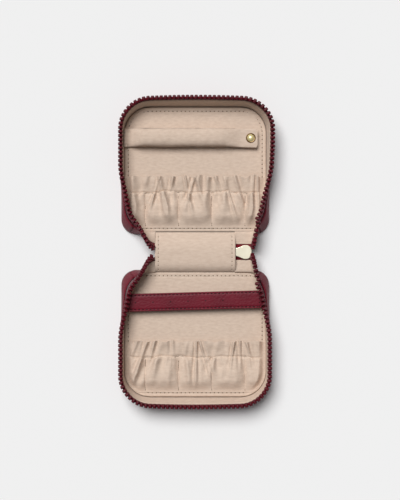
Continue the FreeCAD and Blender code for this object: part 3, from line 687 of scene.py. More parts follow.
@dataclass(frozen=True)
class Gilt:
    """Polished pale gilt metal with faint wear."""

    name: str = "gilt"
    colour: Colour = srgb(255, 248, 224)
    worn_tone: float = 0.9
    wear_scale: float = 500.0
    metallic: float = 0.5
    smoothest: float = 0.22
    roughest: float = 0.4

    def build(self, pebble: bpy.types.NodeTree) -> bpy.types.Material:
        """Make the gilt metal's material.

        Args:
            pebble: Node group of the pebbled grain, which also gives the wear.

        Returns:
            The material.
        """
        kit = NodeKit(self.name)
        wear = kit.group(pebble, Vector=kit.coords, Scale=self.wear_scale)
        worn = dimmed(self.colour, self.worn_tone)
        kit.feed(kit.shader, "Base Color", kit.mix(wear.outputs["Tone"], worn, self.colour))
        kit.feed(kit.shader, "Metallic", self.metallic)
        ramp = kit.node("ShaderNodeMapRange", Value=wear.outputs["Tone"])
        kit.feed(ramp, "To Min", self.smoothest)
        kit.feed(ramp, "To Max", self.roughest)
        kit.feed(kit.shader, "Roughness", ramp.outputs["Result"])
        return kit.material


@dataclass(frozen=True)
class SnapBrass:
    """Warm brass of the snap's dome, with painted shade and dark reflection in a ring round its rim."""

    name: str = "snap_brass"
    colour: Colour = srgb(255, 240, 180)
    # Dark brown painted shade and reflection of the steep rim, fading in between these radii.
    edge: Colour = srgb(110, 80, 38)
    bright_radius: float = 1.95
    dark_radius: float = 2.6
    worn_tone: float = 0.88
    wear_scale: float = 500.0
    metallic: float = 0.5
    roughness: float = 0.3

    def build(self, pebble: bpy.types.NodeTree) -> bpy.types.Material:
        """Make the snap's material.

        Args:
            pebble: Node group of the pebbled grain, which also gives the wear.

        Returns:
            The material.
        """
        kit = NodeKit(self.name)
        wear = kit.group(pebble, Vector=kit.coords, Scale=self.wear_scale)
        plan = kit.node("ShaderNodeVectorMath", Vector=kit.coords)
        plan.operation = "MULTIPLY"
        plan.inputs[1].default_value = (1.0, 1.0, 0.0)
        reach = kit.node("ShaderNodeVectorMath", Vector=plan.outputs["Vector"])
        reach.operation = "DISTANCE"
        reach.inputs[1].default_value = (CASE.snap_x * MM, CASE.snap_y * MM, 0.0)
        ring = kit.node("ShaderNodeMapRange", Value=reach.outputs["Value"])
        kit.feed(ring, "From Min", self.bright_radius * MM)
        kit.feed(ring, "From Max", self.dark_radius * MM)
        dome = kit.mix(wear.outputs["Tone"], dimmed(self.colour, self.worn_tone), self.colour)
        # Painted shade and dark reflection mixed in towards the rim.
        kit.feed(kit.shader, "Base Color", kit.mix(ring.outputs["Result"], dome, self.edge))
        kit.feed(kit.shader, "Metallic", self.metallic)
        kit.feed(kit.shader, "Roughness", self.roughness)
        return kit.material


class Finishes:
    """Every finish of the case."""

    def __init__(self) -> None:
        """Build the shared effects and the materials."""
        weave = weave_group()
        pebble = pebble_group()
        self.lining = Cloth("lining", srgb(198, 175, 157), srgb(238, 218, 200)).build(weave)
        self.thread = Cloth("thread", srgb(206, 190, 172), srgb(224, 210, 194), scale=900.0).build(weave)
        # Dark brown dots of painted shade: needle holes, and the creases along the pocket's divider seams.
        self.needle_hole = Cloth("needle_hole", srgb(112, 88, 70), srgb(132, 106, 86)).build(weave)
        self.tape = Cloth("tape", srgb(104, 14, 29), srgb(136, 26, 42), scale=700.0).build(weave)
        self.elastic = Cloth("elastic", srgb(214, 204, 190), srgb(226, 218, 206)).build(weave)
        self.foam = Leather(
            "foam", srgb(214, 212, 204), srgb(226, 224, 218), scale=2500.0, bump=0.3, roughness=0.95
        ).build(pebble)
        self.board = Leather(
            "board", srgb(150, 132, 108), srgb(168, 150, 124), scale=2500.0, bump=0.2, roughness=0.95
        ).build(pebble)
        self.leather = Leather("leather", srgb(84, 8, 25), srgb(118, 18, 39)).build(pebble)
        # Dark red thread of the strap's stitching, also used as painted shade inside its punched holes.
        self.seam = Leather("seam", srgb(30, 5, 10), srgb(48, 9, 16), scale=1500.0).build(pebble)
        self.teeth = Leather(
            "teeth", srgb(72, 12, 24), srgb(98, 24, 36), scale=1500.0, bump=0.1, roughness=0.36
        ).build(pebble)
        self.gilt = Gilt().build(pebble)
        self.snap_brass = SnapBrass().build(pebble)

    def by_slot(self) -> dict[str, bpy.types.Material]:
        """Materials by the slots of the record.

        Returns:
            Material of each slot.
        """
        return {
            "leather": self.leather, "lining": self.lining, "zip_tape": self.tape, "zip_teeth": self.teeth,
            "gilt": self.gilt, "foam": self.foam, "board": self.board, "elastic": self.elastic,
        }


def finish_mesh(
    name: str, mesh: bmesh.types.BMesh, material: bpy.types.Material, slot: str
) -> bpy.types.Object:
    """Turn a bmesh into a smooth object of the scene.

    Args:
        name: The piece's name.
        mesh: Its geometry, freed here.
        material: Its finish.
        slot: The record's slot of that finish; not used.

    Returns:
        The new object.
    """
    data = bpy.data.meshes.new(name)
    for face in mesh.faces:
        face.smooth = True
    mesh.to_mesh(data)
    mesh.free()
    data.materials.append(material)
    obj = bpy.data.objects.new(name, data)
    bpy.context.scene.collection.objects.link(obj)
    return obj


def grid_mesh(columns: int, rows: int, place: Place) -> bmesh.types.BMesh:
    """A grid whose points are placed by shares 0 to 1 along both ways.

    Args:
        columns: Steps along the first way.
        rows: Steps along the second way.
        place: Gives the point of two shares.

    Returns:
        The placed grid.
    """
    mesh = bmesh.new()
    bmesh.ops.create_grid(mesh, x_segments=columns, y_segments=rows, size=1.0)
    for vert in mesh.verts:
        vert.co = place((vert.co.x + 1) / 2, (vert.co.y + 1) / 2)
    return mesh


def close_tube(mesh: bmesh.types.BMesh) -> None:
    """Join a rolled-up grid along its seam, cap its ends and turn its faces outwards.

    Args:
        mesh: The grid.
    """
    bmesh.ops.remove_doubles(mesh, verts=mesh.verts, dist=TOUCHING)
    bmesh.ops.holes_fill(mesh, edges=mesh.edges, sides=0)
    bmesh.ops.recalc_face_normals(mesh, faces=mesh.faces)


def swept(columns: int, profile: Profile, place: PathPlace) -> bmesh.types.BMesh:
    """A closed profile of (offset, height) carried along a path.

    Args:
        columns: Steps along the path.
        profile: Corners of the closed profile, mm.
        place: Gives the point of a share along the path, an offset and a height.

    Returns:
        A capped tube with normals outwards.
    """
    loop = profile + profile[:1]
    last = len(loop) - 1

    def point(along: float, round_share: float) -> Vector:
        """Point of a share along the path and a share round the profile."""
        offset, height = loop[round(round_share * last)]
        return place(along, offset, height)

    mesh = grid_mesh(columns, last, point)
    close_tube(mesh)
    return mesh


def beads(spots: list[Spot], size: Triple, level: int = 1) -> bmesh.types.BMesh:
    """Small ellipsoids along a line, for thread and for dots of painted shade.

    Args:
        spots: Place, direction and normal of each.
        size: Length, width and height in mm.
        level: Fineness of each.

    Returns:
        All of them in one mesh.
    """
    mesh = bmesh.new()
    for origin, along, up in spots:
        along = along.normalized()
        across = up.cross(along).normalized()
        turn = Matrix((along, across, along.cross(across))).transposed().to_4x4()
        scale = Matrix.Diagonal(Vector(size) * MM / 2).to_4x4()
        bmesh.ops.create_icosphere(
            mesh, subdivisions=level, radius=1.0, matrix=Matrix.Translation(origin) @ turn @ scale
        )
    return mesh


def even_spots(points: list[Vector], pitch: float, up: Vector, phase: float = 0.0) -> list[Spot]:
    """Places at an even pitch along a polyline.

    Args:
        points: The polyline, in metres.
        pitch: Distance between places, mm.
        up: Normal of every place.
        phase: Share of a pitch to start at.

    Returns:
        Place, direction and normal of each.
    """
    spots = []
    step = pitch * MM
    due = phase * step
    run = 0.0
    for first, second in zip(points, points[1:]):
        length = (second - first).length
        while due <= run + length and length > 0:
            spots.append((first.lerp(second, (due - run) / length), second - first, up))
            due += step
        run += length
    return spots


class Piece:
    """Adds finished pieces to the frame and reports them."""

    @staticmethod
    def ride(obj: bpy.types.Object, body: str, *nodes: str) -> bpy.types.Object:
        """Let a piece ride on a body and stand for CAD nodes.

        Args:
            obj: The piece.
            body: Body that carries it.
            nodes: CAD nodes that it stands for.

        Returns:
            The piece.
        """
        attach(obj, body)
        if nodes:
            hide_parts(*nodes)
        log.info("%s rides on %s", obj.name, body)
        return obj

    @staticmethod
    def bend(obj: bpy.types.Object, half: Half, side: Side, *nodes: str) -> bpy.types.Object:
        """Bake a gusset piece in place and hide the CAD nodes that it stands for.

        Args:
            obj: The piece.
            half: Tray that it belongs to.
            side: Side of the case.
            nodes: CAD nodes that it stands for.

        Returns:
            The piece.
        """
        start, end = (side.value * reach * MM for reach in Wall.twist_span(side))
        half.body
        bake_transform(obj)
        if nodes:
            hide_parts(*nodes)
        log.info("%s bends between %s and spine", obj.name, half.body)
        return obj


@dataclass
class TrayWall:
    """Wall of one tray with its zip: leather, lining, tape and teeth."""

    half: Half
    finishes: Finishes
    u_steps: int = 150
    wing_steps: int = 26
    wall_rows: int = 6
    leather_bulge: float = 0.12
    leather_hem: tuple[tuple[float, float], ...] = ((0.0, 0.5), (0.15, 0.12), (0.45, 0.0), (0.8, 0.1))
    hem_start: float = 0.6
    inner_drop: float = 0.4
    lining_hem: float = 0.5
    lining_roll: float = 0.2
    lining_edge: float = 0.1
    tape_start: float = 6.0
    tape_half: float = 0.25
    tape_bead: tuple[tuple[float, float], ...] = ((0.25, 1.2), (0.7, 0.9), (0.8, 0.4), (0.5, 0.0))
    tooth_blocks: tuple[tuple[Triple, float], ...] = (((2.3, 3.2, 1.7), 0.45), ((1.4, 2.6, 2.4), 2.1))
    tooth_round: float = 0.5
    first_tooth_gap: float = 0.8

    def layers(self, lining_low: float) -> dict[str, tuple[Profile, bpy.types.Material, str]]:
        """Closed profile, finish and slot of each layer of the wall.

        Args:
            lining_low: Height at which the lining starts, mm.

        Returns:
            Layers by name.
        """
        return {
            "leather": (self.leather_profile(), self.finishes.leather, "leather"),
            "lining": (self.lining_profile(lining_low), self.finishes.lining, "lining"),
            "tape": (self.tape_profile(), self.finishes.tape, "zip_tape"),
        }

    def leather_profile(self) -> Profile:
        """Leather with a slight bulge and a turned-in hem.

        Returns:
            Offset and height of each corner, mm.
        """
        low, top = CASE.wall_base, CASE.leather_top
        outer = CASE.layer + CASE.leather
        rows = self.wall_rows
        profile = [(outer, low)]
        for k in range(1, rows):
            bulge = self.leather_bulge * math.sin(math.pi * k / rows)
            profile.append((outer + bulge, low + (top - self.hem_start - low) * k / rows))
        profile += [(outer - inward, top - down) for inward, down in self.leather_hem]
        return profile + [(CASE.layer, top - self.inner_drop), (CASE.layer, low)]

    def lining_profile(self, low: float) -> Profile:
        """Lining with a rolled top edge.

        Args:
            low: Height at which it starts, mm.

        Returns:
            Offset and height of each corner, mm.
        """
        front, back = -CASE.layer, -CASE.layer - CASE.lining
        top = CASE.lining_top
        rows = self.wall_rows
        profile = [(front, low), (front, top - self.lining_roll), (front - self.lining_roll, top)]
        profile.append((back + self.lining_edge, top - self.lining_edge))
        fall = top - self.lining_hem - low
        return profile + [(back, top - self.lining_hem - fall * k / rows) for k in range(rows + 1)]

    def tape_profile(self) -> Profile:
        """Woven tape with the thick bead that carries the teeth.

        Returns:
            Offset and height of each corner, mm.
        """
        start = CASE.wall_base + self.tape_start
        front = [(self.tape_half, start)] + [(half, CASE.rim - down) for half, down in self.tape_bead]
        return front + [(-half, z) for half, z in reversed(front)]

    def build(self) -> None:
        """All pieces of the wall."""
        key = self.half.key
        nodes = {"leather": "wall_leather", "lining": "wall_lining", "tape": "zip_tape"}
        ends = {"leather": "gusset_end", "lining": "", "tape": "tape_end"}
        length = sum(Wall.u_lengths())
        end_layers = self.layers(CASE.panel_top - CASE.end_inset)
        for layer, (profile, material, slot) in self.layers(CASE.wall_base).items():
            def along_u(share: float, offset: float, z: float) -> Vector:
                """Point of the round wall by a share along it."""
                return Wall.u_point(self.half, (2 * share - 1) * length, offset, z)

            obj = finish_mesh(f"{key}_{layer}_round", swept(self.u_steps, profile, along_u), material, slot)
            Piece.ride(obj, self.half.body, f"{key}_{nodes[layer]}")
            for side in Side:
                def along_wing(share: float, offset: float, z: float) -> Vector:
                    """Point of a gusset end.

                    Args:
                        share: Share of its length, towards the spine.
                        offset: Distance outwards from the middle surface, mm.
                        z: Height, mm.

                    Returns:
                        The point in metres.
                    """
                    x = CASE.wing_start + (CASE.spine_edge - CASE.end_inset - CASE.wing_start) * share
                    low = Wall.trimmed(side.value * x, z)
                    return Wall.wing_point(self.half, side.value * x, offset, low)

                mesh = swept(self.wing_steps, end_layers[layer][0], along_wing)
                wing = finish_mesh(f"{key}_{side.key}_{layer}_wing", mesh, material, slot)
                stands = [f"{key}_{side.key}_{ends[layer]}"] if ends[layer] else []
                Piece.bend(wing, self.half, side, *stands)
        self.build_teeth()

    def tooth_frame(self, run: float) -> tuple[Matrix, float, bool]:
        """Frame of one tooth on the rim.

        Args:
            run: Signed distance along the closed rim from the far middle, mm.

        Returns:
            Its frame, its x in mm and whether it is on a gusset end.
        """
        length = sum(Wall.u_lengths())

        def point(place: float, z: float) -> Vector:
            """Point of the rim, round the tray or on a gusset end.

            Args:
                place: Signed distance along the closed rim, mm.
                z: Height, mm.

            Returns:
                The point in metres.
            """
            if abs(place) <= length:
                return Wall.u_point(self.half, place, 0.0, z)
            return Wall.wing_point(self.half, Wall.rim_x(place)[0], 0.0, z)

        rise, step = 1.0, 0.2
        origin = point(run, CASE.rim)
        up = (point(run, CASE.rim + rise) - origin).normalized()
        along = point(run + step, CASE.rim) - point(run - step, CASE.rim)
        along = (along - up * along.dot(up)).normalized()
        turn = Matrix((along, up.cross(along), up)).transposed().to_4x4()
        x = Wall.rim_x(run)[0] if abs(run) > length else origin.x / MM
        return Matrix.Translation(origin) @ turn, x, abs(run) > length

    def end_runs(self, side: Side, last: float) -> list[float]:
        """Runs of the teeth on a gusset end, evenly spaced as it lies open.

        Args:
            side: The end of the spine.
            last: Run of the last tooth before that end.

        Returns:
            Signed runs along the closed rim.
        """
        stop = CASE.spine_edge + self.first_tooth_gap if side is Side.LEFT else CASE.teeth_end
        step = 0.1
        run = abs(last)
        travelled = 0.0
        due = CASE.tooth_pitch
        before = self.tooth_frame(last)[0].translation
        runs = []
        while True:
            run += step
            frame_at, x, on_end = self.tooth_frame(side.value * run)
            if abs(x) < stop:
                return runs
            travelled += (frame_at.translation - before).length / MM
            before = frame_at.translation
            if travelled >= due and on_end:
                runs.append(side.value * run)
                due += CASE.tooth_pitch

    def build_teeth(self) -> None:
        """Tooth rows of the round wall and of both gusset ends."""
        rows: dict[str, bmesh.types.BMesh] = {key: bmesh.new() for key in ("round", "left", "right")}
        phase = self.half.value * CASE.tooth_pitch / 4
        count = int((sum(Wall.u_lengths()) + abs(phase)) / CASE.tooth_pitch)
        runs = [k * CASE.tooth_pitch + phase for k in range(-count, count + 1)]
        runs += self.end_runs(Side.LEFT, runs[0]) + self.end_runs(Side.RIGHT, runs[-1])
        for run in runs:
            frame_at, x, on_end = self.tooth_frame(run)
            row = "round" if not on_end else ("left" if x < 0 else "right")
            for size, height in self.tooth_blocks:
                scale = Matrix.Diagonal(Vector(size) * MM).to_4x4()
                shape = Matrix.Translation((0, 0, height * MM)) @ scale
                bmesh.ops.create_cube(rows[row], size=1.0, matrix=frame_at @ shape)
        key = self.half.key
        for row, mesh in rows.items():
            bmesh.ops.bevel(
                mesh, geom=mesh.edges[:], offset=self.tooth_round * MM, offset_type="OFFSET",
                affect="EDGES", segments=2, profile=0.5, material=-1,
            )
            obj = finish_mesh(f"{key}_{row}_zip_teeth", mesh, self.finishes.teeth, "zip_teeth")
            if row == "round":
                Piece.ride(obj, self.half.body, f"{key}_zip_teeth")
            else:
                Piece.bend(obj, self.half, Side[row.upper()], f"{key}_{row}_teeth")


@dataclass(frozen=True)
class Fold:
    """One gather of a pocket's cloth.

    Attributes:
        place: Where it leaves the elastic, mm along the spine.
        drift: How far it slants over the pocket's depth, mm.
        width: Half its width, mm.
        height: Its height under the elastic, mm.
        reach: Share of the pocket's depth over which it dies out.
        ruffle: Its height in the frill over the elastic, mm.
    """

    place: float
    drift: float
    width: float
    height: float
    reach: float
    ruffle: float


@dataclass
class TrayFloor:
    """Lined floor panel of one tray, with its stitching and gathered pocket."""

    half: Half
    finishes: Finishes
    seed: int
    lap: float = 0.28
    crown: float = 0.12
    skirt: float = 0.8
    edge_roll: float = 0.35
    edge_roll_width: float = 0.9
    stitch_inset: float = 2.4
    channel_depth: float = 0.28
    channel_width: float = 0.7
    unevenness: float = 0.12
    unevenness_rate: float = 0.12
    stitch: Triple = (1.9, 0.62, 0.42)
    # Size of the dark dots of painted shade in the needle holes.
    needle_hole: Triple = (0.95, 0.85, 0.3)
    depth: float = 35.2
    lid_seam: float = 2.9
    base_seam: float = 82.6
    side_inset: float = 1.1
    side_fall: float = 4.5
    lowest: float = 0.32
    highest: float = 5.9
    foot_height: float = 0.35
    foot_share: float = 0.26
    flat_height: float = 0.6
    swell: float = 3.5
    swell_curve: float = 0.55
    slack_share: float = 0.34
    slack: float = 0.38
    frill_height: float = 1.9
    frill_lift: float = 1.5
    frill_share: float = 0.8
    elastic_share: float = 0.69
    elastic_width: float = 0.024
    elastic_pull: float = 0.75
    elastic_sway: float = 0.014
    elastic_sway_rate: float = 0.17
    elastic_waver: float = 0.03
    elastic_waver_rate: float = 0.2
    elastic_line: float = 0.5
    pull_waver: float = 0.5
    pull_waver_rate: float = 0.35
    pull_line: float = 9.0
    mouth_sway: float = 0.5
    mouth_sway_rate: float = 0.55
    mouth_waver: float = 1.3
    mouth_waver_rate: float = 0.16
    mouth_line: float = 4.0
    fold_count: int = 24
    fold_span: float = 90.0
    fold_slant: float = 11.0
    fold_fan: float = 0.1
    fold_widths: tuple[float, float] = (0.8, 2.6)
    fold_strengths: tuple[float, float] = (0.15, 1.0)
    fold_curve: float = 1.3
    tallest_fold: float = 2.5
    fold_reaches: tuple[float, float] = (0.16, 0.7)
    ruffles: tuple[float, float] = (0.3, 1.8)
    fold_spread: float = 0.8
    fold_hollow: float = 0.9
    fold_cutoff: float = 3.0
    ruffle_start: float = 0.55
    ruffle_growth: float = 0.6
    ruffle_share: float = 0.3
    coarse_crumple: float = 0.55
    coarse_rates: tuple[float, float] = (0.11, 4.0)
    fine_crumple: float = 0.3
    fine_rates: tuple[float, float] = (0.3, 8.0)
    dividers: tuple[float, ...] = (-34.2, -11.4, 11.4, 34.2)
    # Pitch and size of the dots of painted crease shade along the divider seams.
    seam_pitch: float = 1.3
    crease_shade_dot: Triple = (1.5, 0.55, 0.4)
    casing_pitch: float = 2.4
    casing_stitch: Triple = (1.6, 0.5, 0.45)
    panel_steps: tuple[int, int] = (150, 130)
    pocket_steps: tuple[int, int] = (300, 90)

    @property
    def far(self) -> float:
        """Far edge of the panel."""
        return CASE.far - CASE.panel_inset

    @property
    def seam(self) -> float:
        """Where the pocket's closed edge is sewn down."""
        return self.lid_seam if self.half is Half.LID else self.base_seam

    @property
    def way(self) -> int:
        """Direction from the pocket's seam to its mouth."""
        return 1 if self.half is Half.LID else -1

    def build(self) -> None:
        """Panel, stitching and pocket."""
        self.build_panel()
        self.build_stitching()
        self.build_pocket()

    def panel_point(self, across: float, along: float) -> Vector:
        """Top of the panel: a soft crown with a rolled, slightly puckered edge.

        Args:
            across: Share of the width, from the left.
            along: Share of the depth, from the spine.

        Returns:
            The point in metres.
        """
        low = CASE.panel_start
        far = self.far + self.lap
        d = low + (far - low) * along
        side = 2 * across - 1
        edge = panel_edge(d, self.lap)
        x = side * edge
        rim = min((1 - abs(side)) * edge, d - low, far - d)
        roll = self.edge_roll * (1 - smoothstep(rim / self.edge_roll_width))
        channel = self.channel_depth * math.exp(-((rim - self.stitch_inset) / self.channel_width) ** 2)
        lump = self.unevenness * noise.noise(Vector((x, d, self.seed)) * self.unevenness_rate)
        return tray_point(self.half, x, d, CASE.panel_top + self.crown - roll - channel + lump)

    def build_panel(self) -> None:
        """The lined panel."""
        mesh = grid_mesh(*self.panel_steps, self.panel_point)
        border = [edge for edge in mesh.edges if edge.is_boundary]
        made = bmesh.ops.extrude_edge_only(mesh, edges=border)
        for vert in (item for item in made["geom"] if isinstance(item, bmesh.types.BMVert)):
            vert.co.z = (CASE.panel_top - self.skirt) * MM
        bmesh.ops.recalc_face_normals(mesh, faces=mesh.faces)
        obj = finish_mesh(f"{self.half.key}_floor_panel", mesh, self.finishes.lining, "lining")
        Piece.ride(obj, self.half.body, f"{self.half.key}_inner_panel")

    def outline_points(self, inset: float) -> list[Vector]:
        """Closed line round the panel, on top of it.

        Args:
            inset: Distance inwards from the panel's edge, mm.

        Returns:
            The line's points in metres.
        """
        width = CASE.half_width - CASE.panel_inset
        front = CASE.front_radius - CASE.panel_inset
        rear = CASE.panel_rear_radius - CASE.panel_inset
        steps = 12
        corners = []
        far_d, near_d = self.far - front, CASE.panel_start + rear
        for centre_x, centre_d, radius, first in (
            (width - front, far_d, front, 0), (front - width, far_d, front, 1),
            (rear - width, near_d, rear, 2), (width - rear, near_d, rear, 3),
        ):
            reach = radius - inset
            for k in range(steps + 1):
                turn = (first + k / steps) * QUARTER_TURN
                x = centre_x + reach * math.cos(turn)
                corners.append(tray_point(self.half, x, centre_d + reach * math.sin(turn), CASE.panel_top))
        return corners + corners[:1]

    def build_stitching(self) -> None:
        """Stitches, and dots of painted shade in the needle holes, round the panel."""
        line = self.outline_points(self.stitch_inset)
        key = self.half.key
        thread = beads(even_spots(line, CASE.stitch_pitch, UP), self.stitch)
        obj = finish_mesh(f"{key}_floor_stitches", thread, self.finishes.thread, "lining")
        Piece.ride(obj, self.half.body)
        # Dark dots of painted shade in the needle holes between the stitches.
        holes = beads(even_spots(line, CASE.stitch_pitch, UP, 0.5), self.needle_hole)
        obj = finish_mesh(f"{key}_floor_needle_holes", holes, self.finishes.needle_hole, "lining")
        Piece.ride(obj, self.half.body)

    def folds(self) -> list[Fold]:
        """Gathers of the pocket, unevenly spaced along its elastic.

        Returns:
            The gathers from left to right.
        """
        chance = random.Random(self.seed)
        made = []
        for k in range(self.fold_count):
            place = self.fold_span * ((k + chance.uniform(0.0, 1.0)) / self.fold_count - 0.5)
            drift = chance.uniform(-self.fold_slant, self.fold_slant) + self.fold_fan * place
            width = chance.uniform(*self.fold_widths)
            height = chance.uniform(*self.fold_strengths) ** self.fold_curve * self.tallest_fold
            reach = chance.uniform(*self.fold_reaches)
            made.append(Fold(place, drift, width, height, reach, chance.uniform(*self.ruffles)))
        return made

    def waver(self, x: float, rate: float, line: float) -> float:
        """Slow uneven wave along x, between -1 and 1."""
        return noise.noise(Vector((rate * x, self.seed, line)))

    def elastic_at(self, x: float) -> float:
        """Share of the pocket's depth where its elastic lies, a little uneven.

        Args:
            x: Along the spine, mm.

        Returns:
            The share from the pocket's seam.
        """
        sway = self.elastic_sway * math.sin(self.elastic_sway_rate * x + self.seed)
        waver = self.elastic_waver * self.waver(x, self.elastic_waver_rate, self.elastic_line)
        return self.elastic_share + sway + waver

    def smooth_height(self, x: float, share: float, elastic: float, edges: list[float]) -> float:
        """Height of the pocket's cloth over the panel without its gathers.

        Args:
            x: Along the spine, mm.
            share: Share of the pocket's depth from its seam.
            elastic: Share at which the elastic lies there.
            edges: Sides and dividers of the compartments, mm.

        Returns:
            The height, mm.
        """
        if share >= elastic:
            return self.frill_height + self.frill_lift * smoothstep((share - elastic) / (1 - elastic))
        for low, high in zip(edges, edges[1:]):
            if x <= high:
                break
        local = min(1.0, max(0.0, (x - low) / (high - low)))
        lump = (4 * local * (1 - local)) ** self.swell_curve
        level = 1.0 - self.slack * smoothstep((share - self.slack_share) / (elastic - self.slack_share))
        foot = smoothstep(share / self.foot_share)
        return self.foot_height + foot * level * (self.flat_height + self.swell * lump)

    def fold_height(self, fold: Fold, x: float, share: float, elastic: float) -> float:
        """Height that one gather adds to the pocket's cloth.

        Args:
            fold: The gather.
            x: Along the spine, mm.
            share: Share of the pocket's depth from its seam.
            elastic: Share at which the elastic lies there.

        Returns:
            The height, mm.
        """
        if share < elastic:
            down = (elastic - share) / fold.reach
            strength = fold.height * math.exp(-down * down) * smoothstep(share / self.foot_share)
            spread = 1 + self.fold_spread * down
        else:
            growth = self.ruffle_growth * smoothstep((share - elastic) / self.ruffle_share)
            strength = fold.ruffle * (self.ruffle_start + growth)
            spread = 1.0
        offset = (x - fold.place - fold.drift * (elastic - share)) / (fold.width * spread)
        if abs(offset) >= self.fold_cutoff:
            return 0.0
        return strength * (1 - self.fold_hollow * offset * offset) * math.exp(-offset * offset / 2)

    def pocket_height(self, x: float, share: float, edges: list[float], folds: list[Fold]) -> float:
        """Height of the pocket's gathered cloth over the panel.

        Args:
            x: Along the spine, mm.
            share: Share of the pocket's depth from its seam.
            edges: Sides and dividers of the compartments, mm.
            folds: The pocket's gathers.

        Returns:
            The height, mm.
        """
        elastic = self.elastic_at(x)
        height = self.smooth_height(x, share, elastic, edges)
        for fold in folds:
            height += self.fold_height(fold, x, share, elastic)
        crumple = self.coarse_crumple * patches(x, share, self.coarse_rates, self.seed)
        crumple += self.fine_crumple * patches(x, share, self.fine_rates, self.seed)
        height += smoothstep(share / self.foot_share) * crumple
        pinch = math.exp(-(((share - elastic) / self.elastic_width) ** 2))
        pull = self.elastic_pull + self.pull_waver * self.waver(x, self.pull_waver_rate, self.pull_line)
        height -= pull * pinch
        return max(self.lowest, min(self.highest, height))

    def half_span(self, share: float) -> float:
        """Half the pocket's width at a share of its depth, mm."""
        return panel_edge(self.seam + self.way * self.depth * share) - self.side_inset

    def build_pocket(self) -> None:
        """The gathered pocket, the painted crease shade along its seams and the stitched casing of its
        elastic.
        """
        folds = self.folds()

        def point(across: float, share: float) -> Vector:
            """Point of the cloth.

            Args:
                across: Share of the way across the pocket.
                share: Share of the way up from its seam.

            Returns:
                The point in metres.
            """
            edge = self.half_span(share)
            x = (2 * across - 1) * edge
            edges = [-edge, *self.dividers, edge]
            border = smoothstep((edge - abs(x)) / self.side_fall)
            height = self.lowest + border * (self.pocket_height(x, share, edges, folds) - self.lowest)
            wave = self.mouth_sway * math.sin(self.mouth_sway_rate * x + self.seed)
            wave += self.mouth_waver * self.waver(x, self.mouth_waver_rate, self.mouth_line)
            wave *= smoothstep((share - self.frill_share) / (1 - self.frill_share))
            d = self.seam + self.way * (self.depth * share + wave)
            return tray_point(self.half, x, d, CASE.panel_top + height)

        mesh = grid_mesh(*self.pocket_steps, point)
        bmesh.ops.recalc_face_normals(mesh, faces=mesh.faces)
        if sum(face.normal.z for face in mesh.faces) < 0:
            bmesh.ops.reverse_faces(mesh, faces=mesh.faces)
        area = sum(face.calc_area() for face in mesh.faces)
        key = self.half.key
        obj = finish_mesh(f"{key}_gathered_pocket", mesh, self.finishes.lining, "lining")
        Piece.ride(obj, self.half.body, f"{key}_pocket", f"{key}_pocket_elastic")
        self.build_pocket_seams(point)

    def build_pocket_seams(self, point: Place) -> None:
        """Dark dotted lines of painted crease shade along the seams between the compartments, and the
        stitches of the elastic's casing.

        Args:
            point: Point of the cloth by shares across the pocket and up from its seam.
        """
        key = self.half.key
        low, reach, steps = 0.05, 0.58, 12
        spots = []
        for x in self.dividers:
            shares = [low + reach * k / steps for k in range(steps + 1)]
            line = [point((x / self.half_span(share) + 1) / 2, share) for share in shares]
            spots += even_spots(line, self.seam_pitch, UP)
        # Painted shade: dark dots along each divider seam stand in for the shadow of its crease.
        crease_shade_beads = beads(spots, self.crease_shade_dot)
        obj = finish_mesh(f"{key}_pocket_seams", crease_shade_beads, self.finishes.needle_hole, "lining")
        Piece.ride(obj, self.half.body)
        middle = self.half_span(self.elastic_share)
        margin, steps = 0.02, 160
        shares = [margin + (1 - 2 * margin) * k / steps for k in range(steps + 1)]
        casing = [point(share, self.elastic_at((2 * share - 1) * middle)) for share in shares]
        rows = beads(even_spots(casing, self.casing_pitch, UP), self.casing_stitch)
        obj = finish_mesh(f"{key}_pocket_casing_stitches", rows, self.finishes.thread, "lining")
        Piece.ride(obj, self.half.body)


